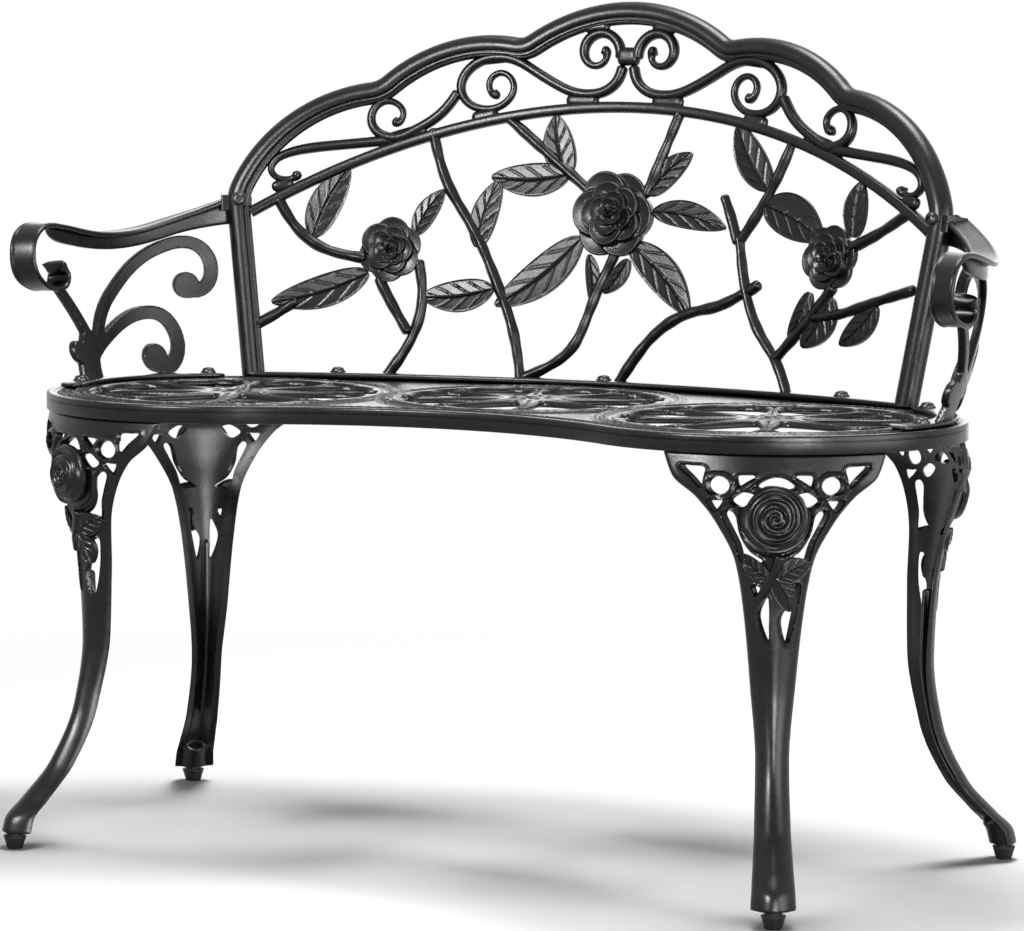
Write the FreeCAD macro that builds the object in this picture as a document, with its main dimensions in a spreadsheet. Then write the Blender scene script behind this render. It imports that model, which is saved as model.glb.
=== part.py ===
"""A two-seat garden bench of cast aluminium: crescent seat, rose back, scrolled arms and cabriole legs."""
import FreeCAD, Part
import math
import os
from types import SimpleNamespace

from FreeCAD import Placement, Rotation, Vector

# Driving sizes in millimetres, degrees and counts
SIZES = (
    ("seat_height", "434", "top of the seat rim above the floor"),
    ("lobe_offset", "292", "midline to the centre of each round end of the seat"),
    ("lobe_radius", "185", "outer radius of the round ends"),
    ("front_reach", "100", "middle of the front edge, in front of the lobe centres"),
    ("rear_reach", "261", "middle of the rear edge, behind the lobe centres"),
    ("rim_height", "17", "height of the seat's outer wall"),
    ("rim_wall", "6", "thickness of that wall"),
    ("seat_plate", "7", "thickness of the pierced seat plate"),
    ("end_medallion", "150", "outer radius of the medallions in the round ends"),
    ("mid_medallion", "138", "outer radius of the middle medallion"),
    ("mid_medallion_y", "79", "middle medallion's centre, behind the lobe centres"),
    ("petals", "8", "petal loops in a medallion"),
    ("hub_radius", "26", "solid hub of a medallion"),
    ("loop_bar", "10", "bar between two petal openings"),
    ("boss_diameter", "16", "bosses under the seat where the legs are bolted"),
    ("boss_inset", "26", "boss centres inside the lobe radius"),
    ("boss_spread", "18", "boss centres to each side of a leg's facing, degrees"),
    ("back_inset", "23", "back's foot at the midline, in front of the seat's rear edge"),
    ("back_radius", "860", "plan radius of the curved back"),
    ("back_lean", "9", "backward lean of the back, degrees"),
    ("back_rise", "375", "crown of the top rail's centre line above the seat"),
    ("back_half_width", "391", "midline to the rail's centre at the top of a post"),
    ("rail_width", "24", "top rail and posts, seen from the front"),
    ("rail_depth", "24", "top rail and posts, front to back"),
    ("arch_width", "11", "arch bar, seen from the front"),
    ("arch_depth", "12", "arch bar, front to back"),
    ("scroll_width", "9", "back scrolls, seen from the front"),
    ("scroll_depth", "10", "back scrolls, front to back"),
    ("stem_width", "11", "rose stems, seen from the front"),
    ("stem_depth", "11", "rose stems, front to back"),
    ("leaf_depth", "8", "leaf thickness along its midrib"),
    ("side_rose", "34", "radius of the two outer roses"),
    ("middle_rose", "46", "radius of the middle rose"),
    ("flange_width", "24", "back's foot flange"),
    ("flange_thickness", "6", "back's foot flange"),
    ("arm_height", "180.5", "arm rail's rear end above the seat"),
    ("arm_base_inset", "15", "arm panel's foot, inside the lobe radius"),
    ("arm_waist_reach", "11.5", "arm rail's nearest point, beyond the lobe radius"),
    ("arm_flare", "28", "arm rail's flare in front of its waist, at the rear end's turn from it"),
    ("strap_width", "27", "arm rail strap"),
    ("strap_thickness", "5", "arm rail strap"),
    ("arm_web", "8", "thickness of the arm's web and scrolls"),
    ("web_height", "12", "web below the strap"),
    ("arm_scroll_width", "13", "arm scrolls, seen from the side"),
    ("arm_flange_width", "22", "arm's foot flange"),
    ("arm_flange_thickness", "5", "arm's foot flange"),
    ("leg_top_width", "202", "leg casting across its top"),
    ("leg_waist_width", "31", "leg at its narrowest"),
    ("toe_width", "41", "leg across its toe"),
    ("toe_reach", "68", "foot centre beyond the seat's lobe radius"),
    ("leg_wall", "6", "wall of the leg's shell"),
    ("leg_plate", "6", "leg's top plate"),
    ("leg_rose", "31", "radius of the rose on a leg"),
    ("front_splay", "26", "front legs' facing, degrees outward"),
    ("rear_splay", "40.7", "rear legs' facing, degrees outward"),
    ("glide_top", "23.5", "foot plug across its top"),
    ("glide_bottom", "16", "foot plug across its tread"),
    ("glide_height", "13", "foot plug's taper"),
    ("collar_height", "2.7", "lock collar between plug and toe"),
    ("toe_gap", "0.3", "running gap above the collar"),
    ("stud_diameter", "8", "levelling stud"),
    ("stud_length", "14", "levelling stud above the plug's top"),
    ("stud_grip", "9", "levelling stud inside the plug"),
    ("stud_clearance", "0.1", "round the stud in the toe"),
)

doc = FreeCAD.newDocument("GardenBench")
sheet = doc.addObject("Spreadsheet::Sheet", "Sizes")
for row, (alias, value, meaning) in enumerate(SIZES, start=1):
    sheet.set(f"A{row}", meaning)
    sheet.set(f"B{row}", value)
    sheet.setAlias(f"B{row}", alias)
doc.recompute()
d = SimpleNamespace(**{alias: float(sheet.get(alias)) for alias, _, _ in SIZES})

nodes = []


def keep(feature, label):
    """Name a finished sub-part and put it on the list of pieces."""
    feature.Label = label
    nodes.append(feature)
    return feature


def add_shape(label, shape):
    """A sub-part whose shape comes from Part's own functions."""
    feature = doc.addObject("Part::Feature", label)
    feature.Shape = shape
    return keep(feature, label)


# General shapes

FLATNESS = 1e-6
CHUNK = 3
CRUMB_SHARE = 0.1
UP = Vector(0, 0, 1)


def flat_face(corners):
    return Part.Face(Part.makePolygon(corners + corners[:1]))


def strip(a, b, c, e):
    """Four corners as one flat face, or as two where they do not lie in a plane."""
    twist = (b - a).cross(e - a).dot(c - a)
    if abs(twist) < FLATNESS:
        return [flat_face([a, b, c, e])]
    return [flat_face([a, b, c]), flat_face([a, c, e])]


def ring_loft(rings):
    """A closed solid through polygons that have the same number of corners, with flat faces between them."""
    count = len(rings[0])
    faces = [flat_face(rings[0]), flat_face(rings[-1])]
    for near, far in zip(rings, rings[1:]):
        for index in range(count):
            after = (index + 1) % count
            faces.extend(strip(near[index], near[after], far[after], far[index]))
    solid = Part.Solid(Part.Shell(faces))
    if solid.Volume < 0:
        solid.reverse()
    return solid


def carry(points, normals, section):
    """Carry a section along a path; section(share) gives (side, out) corners at that share of the way.

    The bar holds its whole solid, and the same solid in short lengths for trimming what meets it.
    """
    last = len(points) - 1
    rings = []
    for index, point in enumerate(points):
        ahead = (points[min(index + 1, last)] - points[max(index - 1, 0)]).normalize()
        side = ahead.cross(normals[index]).normalize()
        out = side.cross(ahead)
        rings.append([point + side * a + out * c for a, c in section(index / last)])
    lengths = [ring_loft(rings[start:start + CHUNK + 1]) for start in range(0, last, CHUNK)]
    return SimpleNamespace(solid=ring_loft(rings), lengths=lengths)


def trim(shape, tools):
    """Cut a shape back to the faces of the tools that it reaches."""
    close = [tool for tool in tools if shape.BoundBox.intersect(tool.BoundBox)]
    return shape.cut(close) if close else shape


def solids_of(shape):
    """The solids of a shape, without the crumbs that a cut leaves beyond a bar."""
    largest = max(solid.Volume for solid in shape.Solids)
    return [solid for solid in shape.Solids if solid.Volume > CRUMB_SHARE * largest]


def flat_bar(width, depth):
    """Plain rectangular bar."""
    half, front = width / 2, depth / 2
    return lambda share: ((-half, -front), (half, -front), (half, front), (-half, front))


def cast_bar(width, depth):
    """Cast bar with a flat back and drafted sides: its front is half as wide as its back."""
    half, front = width / 2, depth / 2
    return lambda share: ((-half, -front), (half, -front), (half / 2, front), (-half / 2, front))


def round_bar(width, depth, sides):
    """A round tube seen as a polygon of even sides."""
    corners = [(width / 2 * math.cos(math.tau * i / sides), depth / 2 * math.sin(math.tau * i / sides))
               for i in range(sides)]
    return lambda share: corners


def smooth(points, count):
    """Points spaced along one smooth curve through the given (across, up) points."""
    curve = Part.BSplineCurve()
    curve.interpolate([Vector(a, b, 0) for a, b in points])
    return [(p.x, p.y) for p in curve.toShape().discretize(Number=count)]


def arc_through(first, middle, end, count):
    """Points on the arc through three (across, up) points."""
    arc = Part.Arc(*(Vector(a, b, 0) for a, b in (first, middle, end)))
    return [(p.x, p.y) for p in arc.toShape().discretize(Number=count)]


def spiral(centre, start_radius, end_radius, start, turn, count, squeeze=1.0):
    """Points on a spiral: the radius falls with the angle, faster towards the end when squeeze is over 1."""
    points = []
    for index in range(count):
        share = index / (count - 1)
        angle = math.radians(start + turn * share)
        radius = start_radius + (end_radius - start_radius) * share ** squeeze
        points.append((centre[0] + radius * math.cos(angle), centre[1] + radius * math.sin(angle)))
    return points


def flip(points):
    """The same (across, up) points on the other side of the midline, in reverse order."""
    return [(-across, up) for across, up in reversed(points)]


def mirrored(point):
    return Vector(-point.x, point.y, point.z)


def on_lobe(radius, angle, side=1):
    """A point in plan round the centre of the right lobe, or of the left one for side -1."""
    turn = math.radians(angle)
    return Vector(side * (d.lobe_offset + radius * math.cos(turn)), radius * math.sin(turn), 0)


def polygon_at(centre, radius, sides):
    """Corners of an even polygon in plan, the first one along +X."""
    turns = [math.tau * index / sides for index in range(sides)]
    return [centre + Vector(radius * math.cos(turn), radius * math.sin(turn), 0) for turn in turns]


# Seat: the crescent outline, its rim, three flower medallions and the leg bosses

front_radius = ((d.lobe_offset ** 2 + d.front_reach ** 2 - d.lobe_radius ** 2)
                / (2 * (d.lobe_radius - d.front_reach)))
rear_radius = ((d.lobe_offset ** 2 + d.rear_reach ** 2 - d.lobe_radius ** 2)
               / (2 * (d.rear_reach - d.lobe_radius)))
lobe_centre = Vector(d.lobe_offset, 0, 0)
front_centre = Vector(0, -d.front_reach - front_radius, 0)
rear_centre = Vector(0, d.rear_reach - rear_radius, 0)

PETAL_SIDES = 10
PETAL_ROOT = 0.2
GAP_ROOT = 0.8
GAP_SPREAD = 0.36
BOSS_SIDES = 6
HOLLOW_SIDES = 11


def seat_outline(inset):
    """The four arcs of the seat's edge, moved inwards by inset."""
    radius = d.lobe_radius - inset
    front = lobe_centre + (front_centre - lobe_centre).normalize() * radius
    rear = lobe_centre + (lobe_centre - rear_centre).normalize() * radius
    end = lobe_centre + Vector(radius, 0, 0)
    return [Part.Arc(mirrored(front), Vector(0, -d.front_reach + inset, 0), front),
            Part.Arc(front, end, rear),
            Part.Arc(rear, Vector(0, d.rear_reach - inset, 0), mirrored(rear)),
            Part.Arc(mirrored(rear), mirrored(end), mirrored(front))]


def outline(corners):
    """Straight sketch lines round the corners."""
    return [Part.LineSegment(a, b) for a, b in zip(corners, corners[1:] + corners[:1])]


def straight_sides(arcs, count):
    """A hidden edge: the arcs with a number of straight sides each."""
    corners = []
    for arc in arcs:
        corners.extend(arc.toShape().discretize(Number=count + 1)[:-1])
    return outline(corners)


def petal_opening(outer):
    """A petal along +X: an ellipse that widens on its way from the hub to the ring."""
    tip = d.hub_radius + d.loop_bar
    end = outer - d.loop_bar
    room = (tip + end) / 2 * math.tan(math.pi / d.petals) - d.loop_bar / 2
    half = 2 * room / (1 + PETAL_ROOT)
    corners = []
    for index in range(PETAL_SIDES):
        turn = math.tau * index / PETAL_SIDES
        along = (1 - math.cos(turn)) / 2
        wide = PETAL_ROOT + (1 - PETAL_ROOT) * along
        corners.append(Vector(tip + (end - tip) * along, half * wide * math.sin(turn), 0))
    return outline(corners)


def gap_opening(outer):
    """The three-cornered opening between two petals and the ring, centred on half a pitch."""
    pitch = math.pi / d.petals
    rim = outer - d.loop_bar

    def at(radius, share):
        return Vector(radius * math.cos(pitch * (1 + share)), radius * math.sin(pitch * (1 + share)), 0)
    return outline([at(outer * GAP_ROOT, 0), at(rim, -GAP_SPREAD), at(rim, GAP_SPREAD)])


seat = doc.addObject("PartDesign::Body", "seat_casting")
seat_plane = next(f for f in seat.Origin.OriginFeatures if f.Role == "XY_Plane")


def seat_sketch(name, geometry, centre=Vector(0, 0, 0)):
    """A sketch in the seat's top plane, or in a plane moved to centre."""
    sketch = seat.newObject("Sketcher::SketchObject", name)
    sketch.AttachmentSupport = (seat_plane, [""])
    sketch.MapMode = "FlatFace"
    sketch.AttachmentOffset = Placement(centre, Rotation())
    sketch.addGeometry(geometry, False)
    return sketch


# A leg's name, its side, and its facing in degrees round the right lobe
leg_facings = (("front_right", 1, -90 + d.front_splay), ("rear_right", 1, 90 - d.rear_splay),
               ("rear_left", -1, 90 - d.rear_splay), ("front_left", -1, -90 + d.front_splay))
boss_lines = []
for _, side, facing in leg_facings:
    for turn in (-d.boss_spread, d.boss_spread):
        boss = on_lobe(d.lobe_radius - d.boss_inset, facing + turn, side)
        boss_lines.extend(outline(polygon_at(boss, d.boss_diameter / 2, BOSS_SIDES)))

underside = Vector(0, 0, -d.rim_height)
block = seat.newObject("PartDesign::Pad", "seat_block")
block.Profile = seat_sketch("seat_edge", seat_outline(0))
block.Reversed = True
block.setExpression("Length", "Sizes.rim_height")
hollow = seat.newObject("PartDesign::Pocket", "seat_hollow")
hollow_lines = straight_sides(seat_outline(d.rim_wall), HOLLOW_SIDES)
hollow.Profile = seat_sketch("hollow_edge", hollow_lines, underside)
hollow.Reversed = True
hollow.setExpression("Length", "Sizes.rim_height - Sizes.seat_plate")
bosses = seat.newObject("PartDesign::Pad", "leg_bosses")
bosses.Profile = seat_sketch("boss_edges", boss_lines, underside)
bosses.setExpression("Length", "Sizes.rim_height - Sizes.seat_plate / 2")
medallions = (("right", Vector(d.lobe_offset, 0, 0), d.end_medallion),
              ("middle", Vector(0, d.mid_medallion_y, 0), d.mid_medallion),
              ("left", Vector(-d.lobe_offset, 0, 0), d.end_medallion))
for name, centre, outer in medallions:
    for opening, geometry in (("petal", petal_opening(outer)), ("gap", gap_opening(outer))):
        sketch = seat_sketch(f"{name}_{opening}", geometry, centre)
        cut = seat.newObject("PartDesign::Pocket", f"{name}_{opening}_cut")
        cut.Profile = sketch
        cut.Type = "ThroughAll"
        doc.recompute()
        pattern = seat.newObject("PartDesign::PolarPattern", f"{name}_{opening}s")
        pattern.Originals = [cut]
        pattern.Axis = (sketch, ["N_Axis"])
        pattern.Angle = 360
        pattern.setExpression("Occurrences", "Sizes.petals")
        seat.Tip = pattern
doc.recompute()
seat.Placement = Placement(Vector(0, 0, d.seat_height), Rotation())
keep(seat, "seat_casting")

# Back: everything lies on one leaning cylinder, drawn as (across, up) on a panel

# A post's top gives the drawing's half width, and the crown its height
POST_TOP = (391, 184)
CROWN = (0, 375)
lean = math.tan(math.radians(d.back_lean))
back_setback = d.rear_reach - d.back_inset


def back_plan_y(x):
    """Depth of the back's curve at seat level."""
    return back_setback - d.back_radius + math.sqrt(d.back_radius ** 2 - x ** 2)


def back_point(across, up):
    """A drawn point on the back's middle surface."""
    x = across * d.back_half_width / POST_TOP[0]
    z = up * d.back_rise / CROWN[1]
    return Vector(x, back_plan_y(x) + lean * z, d.seat_height + z)


def back_normal(point):
    """The back's direction towards the sitter."""
    run = math.sqrt(d.back_radius ** 2 - point.x ** 2)
    return Vector(-point.x / run, -1, lean).normalize()


def back_bar(drawn, section):
    """Carry a section along drawn points of the back."""
    points = [back_point(*place) for place in drawn]
    return carry(points, [back_normal(point) for point in points], section)


# Foot flange, and all the space below its top
FLANGE_REACH = 370
FLANGE_STEPS = 14
flange_top = d.seat_height + d.flange_thickness
flange_points = []
for index in range(FLANGE_STEPS + 1):
    across = FLANGE_REACH * (2 * index / FLANGE_STEPS - 1)
    seat_point = back_point(across, 0)
    flange_points.append(seat_point + UP * (d.flange_thickness / 2))
flange_normals = [Vector(point.x, point.y - back_setback + d.back_radius, 0) for point in flange_points]
flange = carry(flange_points, flange_normals, flat_bar(d.flange_thickness, d.flange_width)).solid
bench_reach = 4 * d.lobe_offset


def space_below(height):
    return Part.makeBox(bench_reach, bench_reach, d.seat_height,
                        Vector(-bench_reach / 2, -bench_reach / 2, height - d.seat_height))


below_flange = space_below(flange_top)

# Scalloped top rail with its posts
POST_FOOT = (363, -4)
SHOULDER = (350, 253)
OUTER_CUSP = (266, 289)
HAUNCH = (190, 335)
INNER_CUSP = (108, 338)
RAIL_SIDES = 8
right_rail = ([POST_FOOT] + arc_through(POST_TOP, SHOULDER, OUTER_CUSP, 7)
              + arc_through(OUTER_CUSP, HAUNCH, INNER_CUSP, 7)[1:])
crown_rail = arc_through(INNER_CUSP, CROWN, (-INNER_CUSP[0], INNER_CUSP[1]), 11)[1:-1]
rail = back_bar(right_rail + crown_rail + flip(right_rail), round_bar(d.rail_width, d.rail_depth, RAIL_SIDES))

# Arch bar under it
ARCH_END = (378, 168)
ARCH_CROWN = (0, 280)
arch_line = arc_through(ARCH_END, ARCH_CROWN, (-ARCH_END[0], ARCH_END[1]), 21)
arch = back_bar(arch_line, cast_bar(d.arch_width, d.arch_depth))
frame_lengths = rail.lengths + arch.lengths

# Scrollwork between the rail and the arch, drawn for the right half
HEART = spiral((34, 334), 25, 6, 195, -390, 16)
S_LINE = (smooth([(7, 322), (17, 305), (38, 290), (62, 290), (86, 302), (112, 320)], 7)
          + spiral((147, 301), 29, 6, 125, -385, 16, 1.6))
BRANCH = (smooth([(177, 300), (188, 281), (206, 264), (230, 250)], 4)
          + spiral((252, 265), 19, 6, -100, 335, 13, 1.6))
FEATHER = smooth([(258, 246), (302, 240), (345, 233), (361, 223), (362, 209), (349, 200), (336, 207)], 12)
KNOT_UP = 331
KNOT_HALF = 12
KNOT_HEIGHT = 19
KNOT_DEPTH = 14
knot = back_bar([(-KNOT_HALF, KNOT_UP), (KNOT_HALF, KNOT_UP)], cast_bar(KNOT_HEIGHT, KNOT_DEPTH))
scrolls = [knot.solid]
for side in (1, -1):
    met = frame_lengths + knot.lengths
    for line in (HEART, S_LINE, BRANCH, FEATHER):
        bar = back_bar([(side * across, up) for across, up in line], cast_bar(d.scroll_width, d.scroll_depth))
        scrolls.extend(solids_of(trim(bar.solid, met)))
        met = met + bar.lengths

# Roses: tiers of lobed petals, each turned against the one below, as shares of the rose's radius
ROSE_TIERS = ((1.00, 0.92, -0.15, 0.13), (0.80, 0.70, 0.13, 0.24), (0.56, 0.48, 0.24, 0.33),
              (0.32, 0.22, 0.33, 0.41))
ROSE_LOBES = 5
ROSE_WAVE = 0.07
TIER_TURN = 2.2


def rose(centre, across, up, out, radius, corners, tier_count):
    """A rose on a surface: origin and three directions of the surface, its radius, corners and tiers."""
    tiers = []
    for tier, (bottom, top, low, high) in enumerate(ROSE_TIERS[:tier_count]):
        rings = []
        for share, height in ((bottom, low), (top, high)):
            ring = []
            for corner in range(corners):
                angle = math.tau * corner / corners
                reach = radius * share * (1 + ROSE_WAVE * math.cos(ROSE_LOBES * angle + TIER_TURN * tier))
                ring.append(centre + across * (reach * math.cos(angle)) + up * (reach * math.sin(angle))
                            + out * (radius * height))
            rings.append(ring)
        tiers.append(ring_loft(rings))
    return tiers[0].multiFuse(tiers[1:])


BACK_ROSE_CORNERS = 15


def back_rose(across, up, radius):
    centre = back_point(across, up)
    out = back_normal(centre)
    sideways = UP.cross(out).normalize()
    return rose(centre, sideways, out.cross(sideways), out, radius, BACK_ROSE_CORNERS, len(ROSE_TIERS))


left_rose = back_rose(-239, 131, d.side_rose)
middle_rose = back_rose(-3, 172, d.middle_rose)
right_rose = back_rose(255, 138, d.side_rose)
roses = [left_rose, middle_rose, right_rose]

# Stems, from the arch and the flange to the roses, as drawn points and a number of stations
STEMS = (
    ([(-354, 184), (-331, 150), (-308, 133), (-262, 122)], 6),
    ([(-250, 104), (-236, 80), (-214, 46)], 4),
    ([(-210, 122), (-203, 79), (-209, 46), (-235, 0)], 6),
    ([(-206, 252), (-186, 193), (-156, 148), (-129, 94), (-103, 28), (-92, 0)], 8),
    ([(-128, 268), (-83, 233), (-30, 193)], 4),
    ([(64, 278), (48, 236), (30, 190)], 3),
    ([(5, 140), (-21, 79), (-38, 38), (-92, 4)], 7),
    ([(14, 0), (66, 64), (96, 78), (121, 84), (155, 100)], 7),
    ([(201, 256), (175, 198), (143, 148)], 4),
    ([(121, 195), (132, 172), (142, 146)], 3),
    ([(143, 156), (157, 97), (176, 60), (197, 35), (215, 0)], 8),
    ([(156, 100), (164, 104), (172, 110)], 3),
    ([(278, 148), (312, 164), (352, 188)], 3),
    ([(194, 34), (224, 66), (262, 112)], 4),
    ([(364, 113), (313, 98), (262, 82), (238, 78)], 6),
    ([(-326, 79), (-344, 66), (-366, 52)], 3),
)
stems = []
stem_lengths = []
for line, count in STEMS:
    bar = back_bar(smooth(line, count), cast_bar(d.stem_width, d.stem_depth))
    stems.extend(solids_of(trim(bar.solid, frame_lengths + [below_flange] + roses + stem_lengths)))
    stem_lengths.extend(bar.lengths)

# Leaves: base, tip and width of each blade
LEAVES = (
    ((-318, 142), (-286, 216), 33), ((-216, 146), (-188, 194), 22), ((-258, 108), (-353, 76), 34),
    ((-128, 94), (-205, 84), 33), ((-150, 134), (-130, 206), 28), ((-55, 211), (-141, 207), 34),
    ((-58, 208), (-76, 272), 34), ((34, 192), (81, 236), 26), ((40, 176), (127, 162), 28),
    ((-36, 148), (-127, 76), 38), ((-27, 132), (-20, 80), 15), ((18, 128), (-8, 92), 18),
    ((18, 144), (92, 74), 37), ((176, 200), (131, 266), 34), ((170, 187), (244, 156), 44),
    ((282, 158), (287, 214), 28), ((234, 104), (211, 56), 20), ((262, 100), (228, 49), 34),
    ((318, 94), (274, 54), 26),
)
LEAF_STEPS = 5
LEAF_BUTT = 0.06
LEAF_POINT = 0.96
LEAF_FULLNESS = 0.8
LEAF_BACK = 0.4


def leaf(base, tip, width):
    """A blade along the back: two curved edges, thick at its midrib and thin at its edge."""
    drawn = [(base[0] + (tip[0] - base[0]) * i / LEAF_STEPS, base[1] + (tip[1] - base[1]) * i / LEAF_STEPS)
             for i in range(LEAF_STEPS + 1)]

    def section(share):
        swell = math.sin(math.pi * (LEAF_BUTT + (LEAF_POINT - LEAF_BUTT) * share)) ** LEAF_FULLNESS
        half = width / 2 * swell
        back = d.leaf_depth * LEAF_BACK * swell
        front = d.leaf_depth * (1 - LEAF_BACK) * swell
        return ((-half, 0), (0, -back), (half, 0), (0, front))
    return back_bar(drawn, section).solid


leaves = []
for base, tip, width in LEAVES:
    blade = trim(leaf(base, tip, width), frame_lengths + stem_lengths + [below_flange] + roses + leaves)
    leaves.extend(solids_of(blade))

add_shape("back_rail", rail.solid.cut(below_flange))
add_shape("back_arch_bar", trim(arch.solid, rail.lengths))
add_shape("back_foot_flange", flange)
add_shape("back_scrollwork", Part.makeCompound(scrolls))
add_shape("back_stems", Part.makeCompound(stems))
add_shape("back_leaves", Part.makeCompound(leaves))
add_shape("back_rose_left", left_rose)
add_shape("back_rose_middle", middle_rose)
add_shape("back_rose_right", right_rose)

# Arms: a panel round the seat's end, drawn as (degrees round the lobe centre, up) for the right arm

ARM_RAIL = [(55.6, 180.5), (47.7, 170), (38.7, 160), (29, 151), (18.5, 147.3),
            (7, 150.8), (-1, 156), (-8.2, 160)]
ARM_WAIST_ANGLE = 14.0
ARM_BOW_HEIGHT = 150.0
# Where the arm's rail ends beside a post: degrees before the post's axis, and a distance outside it
POST_JOINT = (389, 180)
RAIL_END_TURN = 3.2
RAIL_END_OUT = 9.6
joint = back_point(*POST_JOINT)
joint_place = joint - lobe_centre
joint_angle = math.degrees(math.atan2(joint_place.y, joint_place.x))
rail_end_radius = math.hypot(joint_place.x, joint_place.y) + RAIL_END_OUT
arm_base_radius = d.lobe_radius - d.arm_base_inset
arm_waist_radius = d.lobe_radius + d.arm_waist_reach
drawn_end, drawn_height = ARM_RAIL[0]
arm_turn = (joint_angle - RAIL_END_TURN) / drawn_end


def arm_point(angle, up):
    """A drawn point on the right arm: it leaves the foot at one radius and bows out to the rail's."""
    sweep = (angle - ARM_WAIST_ANGLE) / (drawn_end - ARM_WAIST_ANGLE)
    flare = rail_end_radius - arm_waist_radius if sweep > 0 else d.arm_flare
    rail_radius = arm_waist_radius + flare * sweep ** 2
    bow = 1 - (1 - min(max(up / ARM_BOW_HEIGHT, 0), 1)) ** 2
    radius = arm_base_radius + (rail_radius - arm_base_radius) * bow
    return on_lobe(radius, arm_turn * angle) + UP * (d.seat_height + up * d.arm_height / drawn_height)


def arm_normal(angle):
    """The direction out of the right arm's panel at a drawn angle."""
    turn = math.radians(arm_turn * angle)
    return Vector(math.cos(turn), math.sin(turn), 0)


def arm_bar(drawn, section):
    points = [arm_point(*place) for place in drawn]
    return carry(points, [arm_normal(angle) for angle, _ in drawn], section)


def strap_with_web(share):
    """Flat strap on top of an upright web."""
    top = d.strap_thickness / 2
    low = -top - d.web_height
    wide, web = d.strap_width / 2, d.arm_web / 2
    return ((top, -wide), (top, wide), (-top, wide), (-top, web), (low, web), (low, -web),
            (-top, -web), (-top, -wide))


EYE_SIDES = 8


def arm_eye(angle, up, radius, width):
    """The rounded end of a scroll, standing across the panel."""
    out = arm_normal(angle)
    along = UP.cross(out)
    rings = []
    for place in (-width / 2, width / 2):
        centre = arm_point(angle, up) + out * place
        rings.append([centre + along * (radius * math.cos(math.tau * i / EYE_SIDES))
                      + UP * (radius * math.sin(math.tau * i / EYE_SIDES)) for i in range(EYE_SIDES)])
    return ring_loft(rings)


VOLUTE = [(-8.2, 160), (-13.3, 159), (-17.6, 149), (-19.2, 132), (-18.4, 113), (-13.5, 99.5), (-7.8, 96),
          (-3.9, 100.5), (-3, 110), (-5.5, 121)]
VOLUTE_EYE = (-8.3, 120)
VOLUTE_EYE_RADIUS = 8
UPPER_SCROLL = [(9, 36), (13.8, 72), (18.7, 91.5), (24.2, 109.6), (30.7, 125.3), (36.7, 134), (42, 137.5),
                (47.3, 132), (50.2, 117.5), (50.5, 104), (49, 92), (46, 87), (43.3, 89)]
UPPER_EYE = (43, 92)
LOWER_SCROLL = [(10, 24), (15, 42.5), (19, 51), (25, 62), (30.2, 66.5), (34.8, 62.5), (38, 50), (39.2, 35.5),
                (38.3, 21), (35, 11.5), (32, 13)]
LOWER_EYE = (30.8, 19.5)
FOOT_LOBE = (-1.2, 32)
EYE_RADIUS = 12
ARM_FOOT = [(6.6, 40), (4, 22), (2.6, 0)]
FOOT_WIDTH = 24
STRUT = [(-4.4, 93), (1.3, 67), (6, 42)]
STRUT_WIDTH = 10
ARM_FLANGE_ENDS = (-22.0, 56.0)
ARM_FLANGE_SETBACK = 5.0
ARM_FLANGE_STEPS = 8

arm_rail = arm_bar(smooth(ARM_RAIL, 10), strap_with_web)
volute = arm_bar(smooth(VOLUTE, 16), flat_bar(d.strap_thickness, d.strap_width))
volute_eye = trim(arm_eye(*VOLUTE_EYE, VOLUTE_EYE_RADIUS, d.strap_width), volute.lengths)

# Lug at the rail's rear end: it laps the outer side and the back of the post
LUG_WALL = 7.0
LUG_HEIGHT = 22.0
LUG_LAP = 4.0
joint_out = back_normal(joint)
joint_side = UP.cross(joint_out).normalize()
joint_up = joint_out.cross(joint_side)
post_side = d.rail_width / 2
post_rear = d.rail_depth / 2


def post_block(side_from, side_to, rear_from, rear_to):
    """A block beside the right post: sideways and rearward limits from the post's axis."""
    corners = ((side_from, rear_from), (side_to, rear_from), (side_to, rear_to), (side_from, rear_to))
    ring = [joint + joint_side * a - joint_out * b - joint_up * (LUG_HEIGHT / 2) for a, b in corners]
    return flat_face(ring).extrude(joint_up * LUG_HEIGHT)


lug = post_block(-post_side, post_side + LUG_WALL, post_rear - LUG_LAP, post_rear + LUG_WALL).fuse(
    post_block(post_side - LUG_LAP, post_side + LUG_WALL, -LUG_WALL, post_rear + LUG_WALL))
lug = trim(lug, rail.lengths)
arm_rail_solids = solids_of(trim(arm_rail.solid, rail.lengths + [lug]))
arm_rail_solids += solids_of(trim(volute.solid, arm_rail.lengths)) + [volute_eye, lug]

arm_scrolls = []
met = arm_rail.lengths + volute.lengths + [volute_eye, space_below(d.seat_height + d.arm_flange_thickness)]
for line, count, width in ((ARM_FOOT, 4, FOOT_WIDTH), (UPPER_SCROLL, 14, d.arm_scroll_width),
                           (LOWER_SCROLL, 12, d.arm_scroll_width), (STRUT, 3, STRUT_WIDTH)):
    bar = arm_bar(smooth(line, count), flat_bar(width, d.arm_web))
    arm_scrolls.extend(solids_of(trim(bar.solid, met)))
    met = met + bar.lengths
for eye in (UPPER_EYE, LOWER_EYE, FOOT_LOBE):
    arm_scrolls.extend(solids_of(trim(arm_eye(*eye, EYE_RADIUS, d.arm_web), met)))

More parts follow.
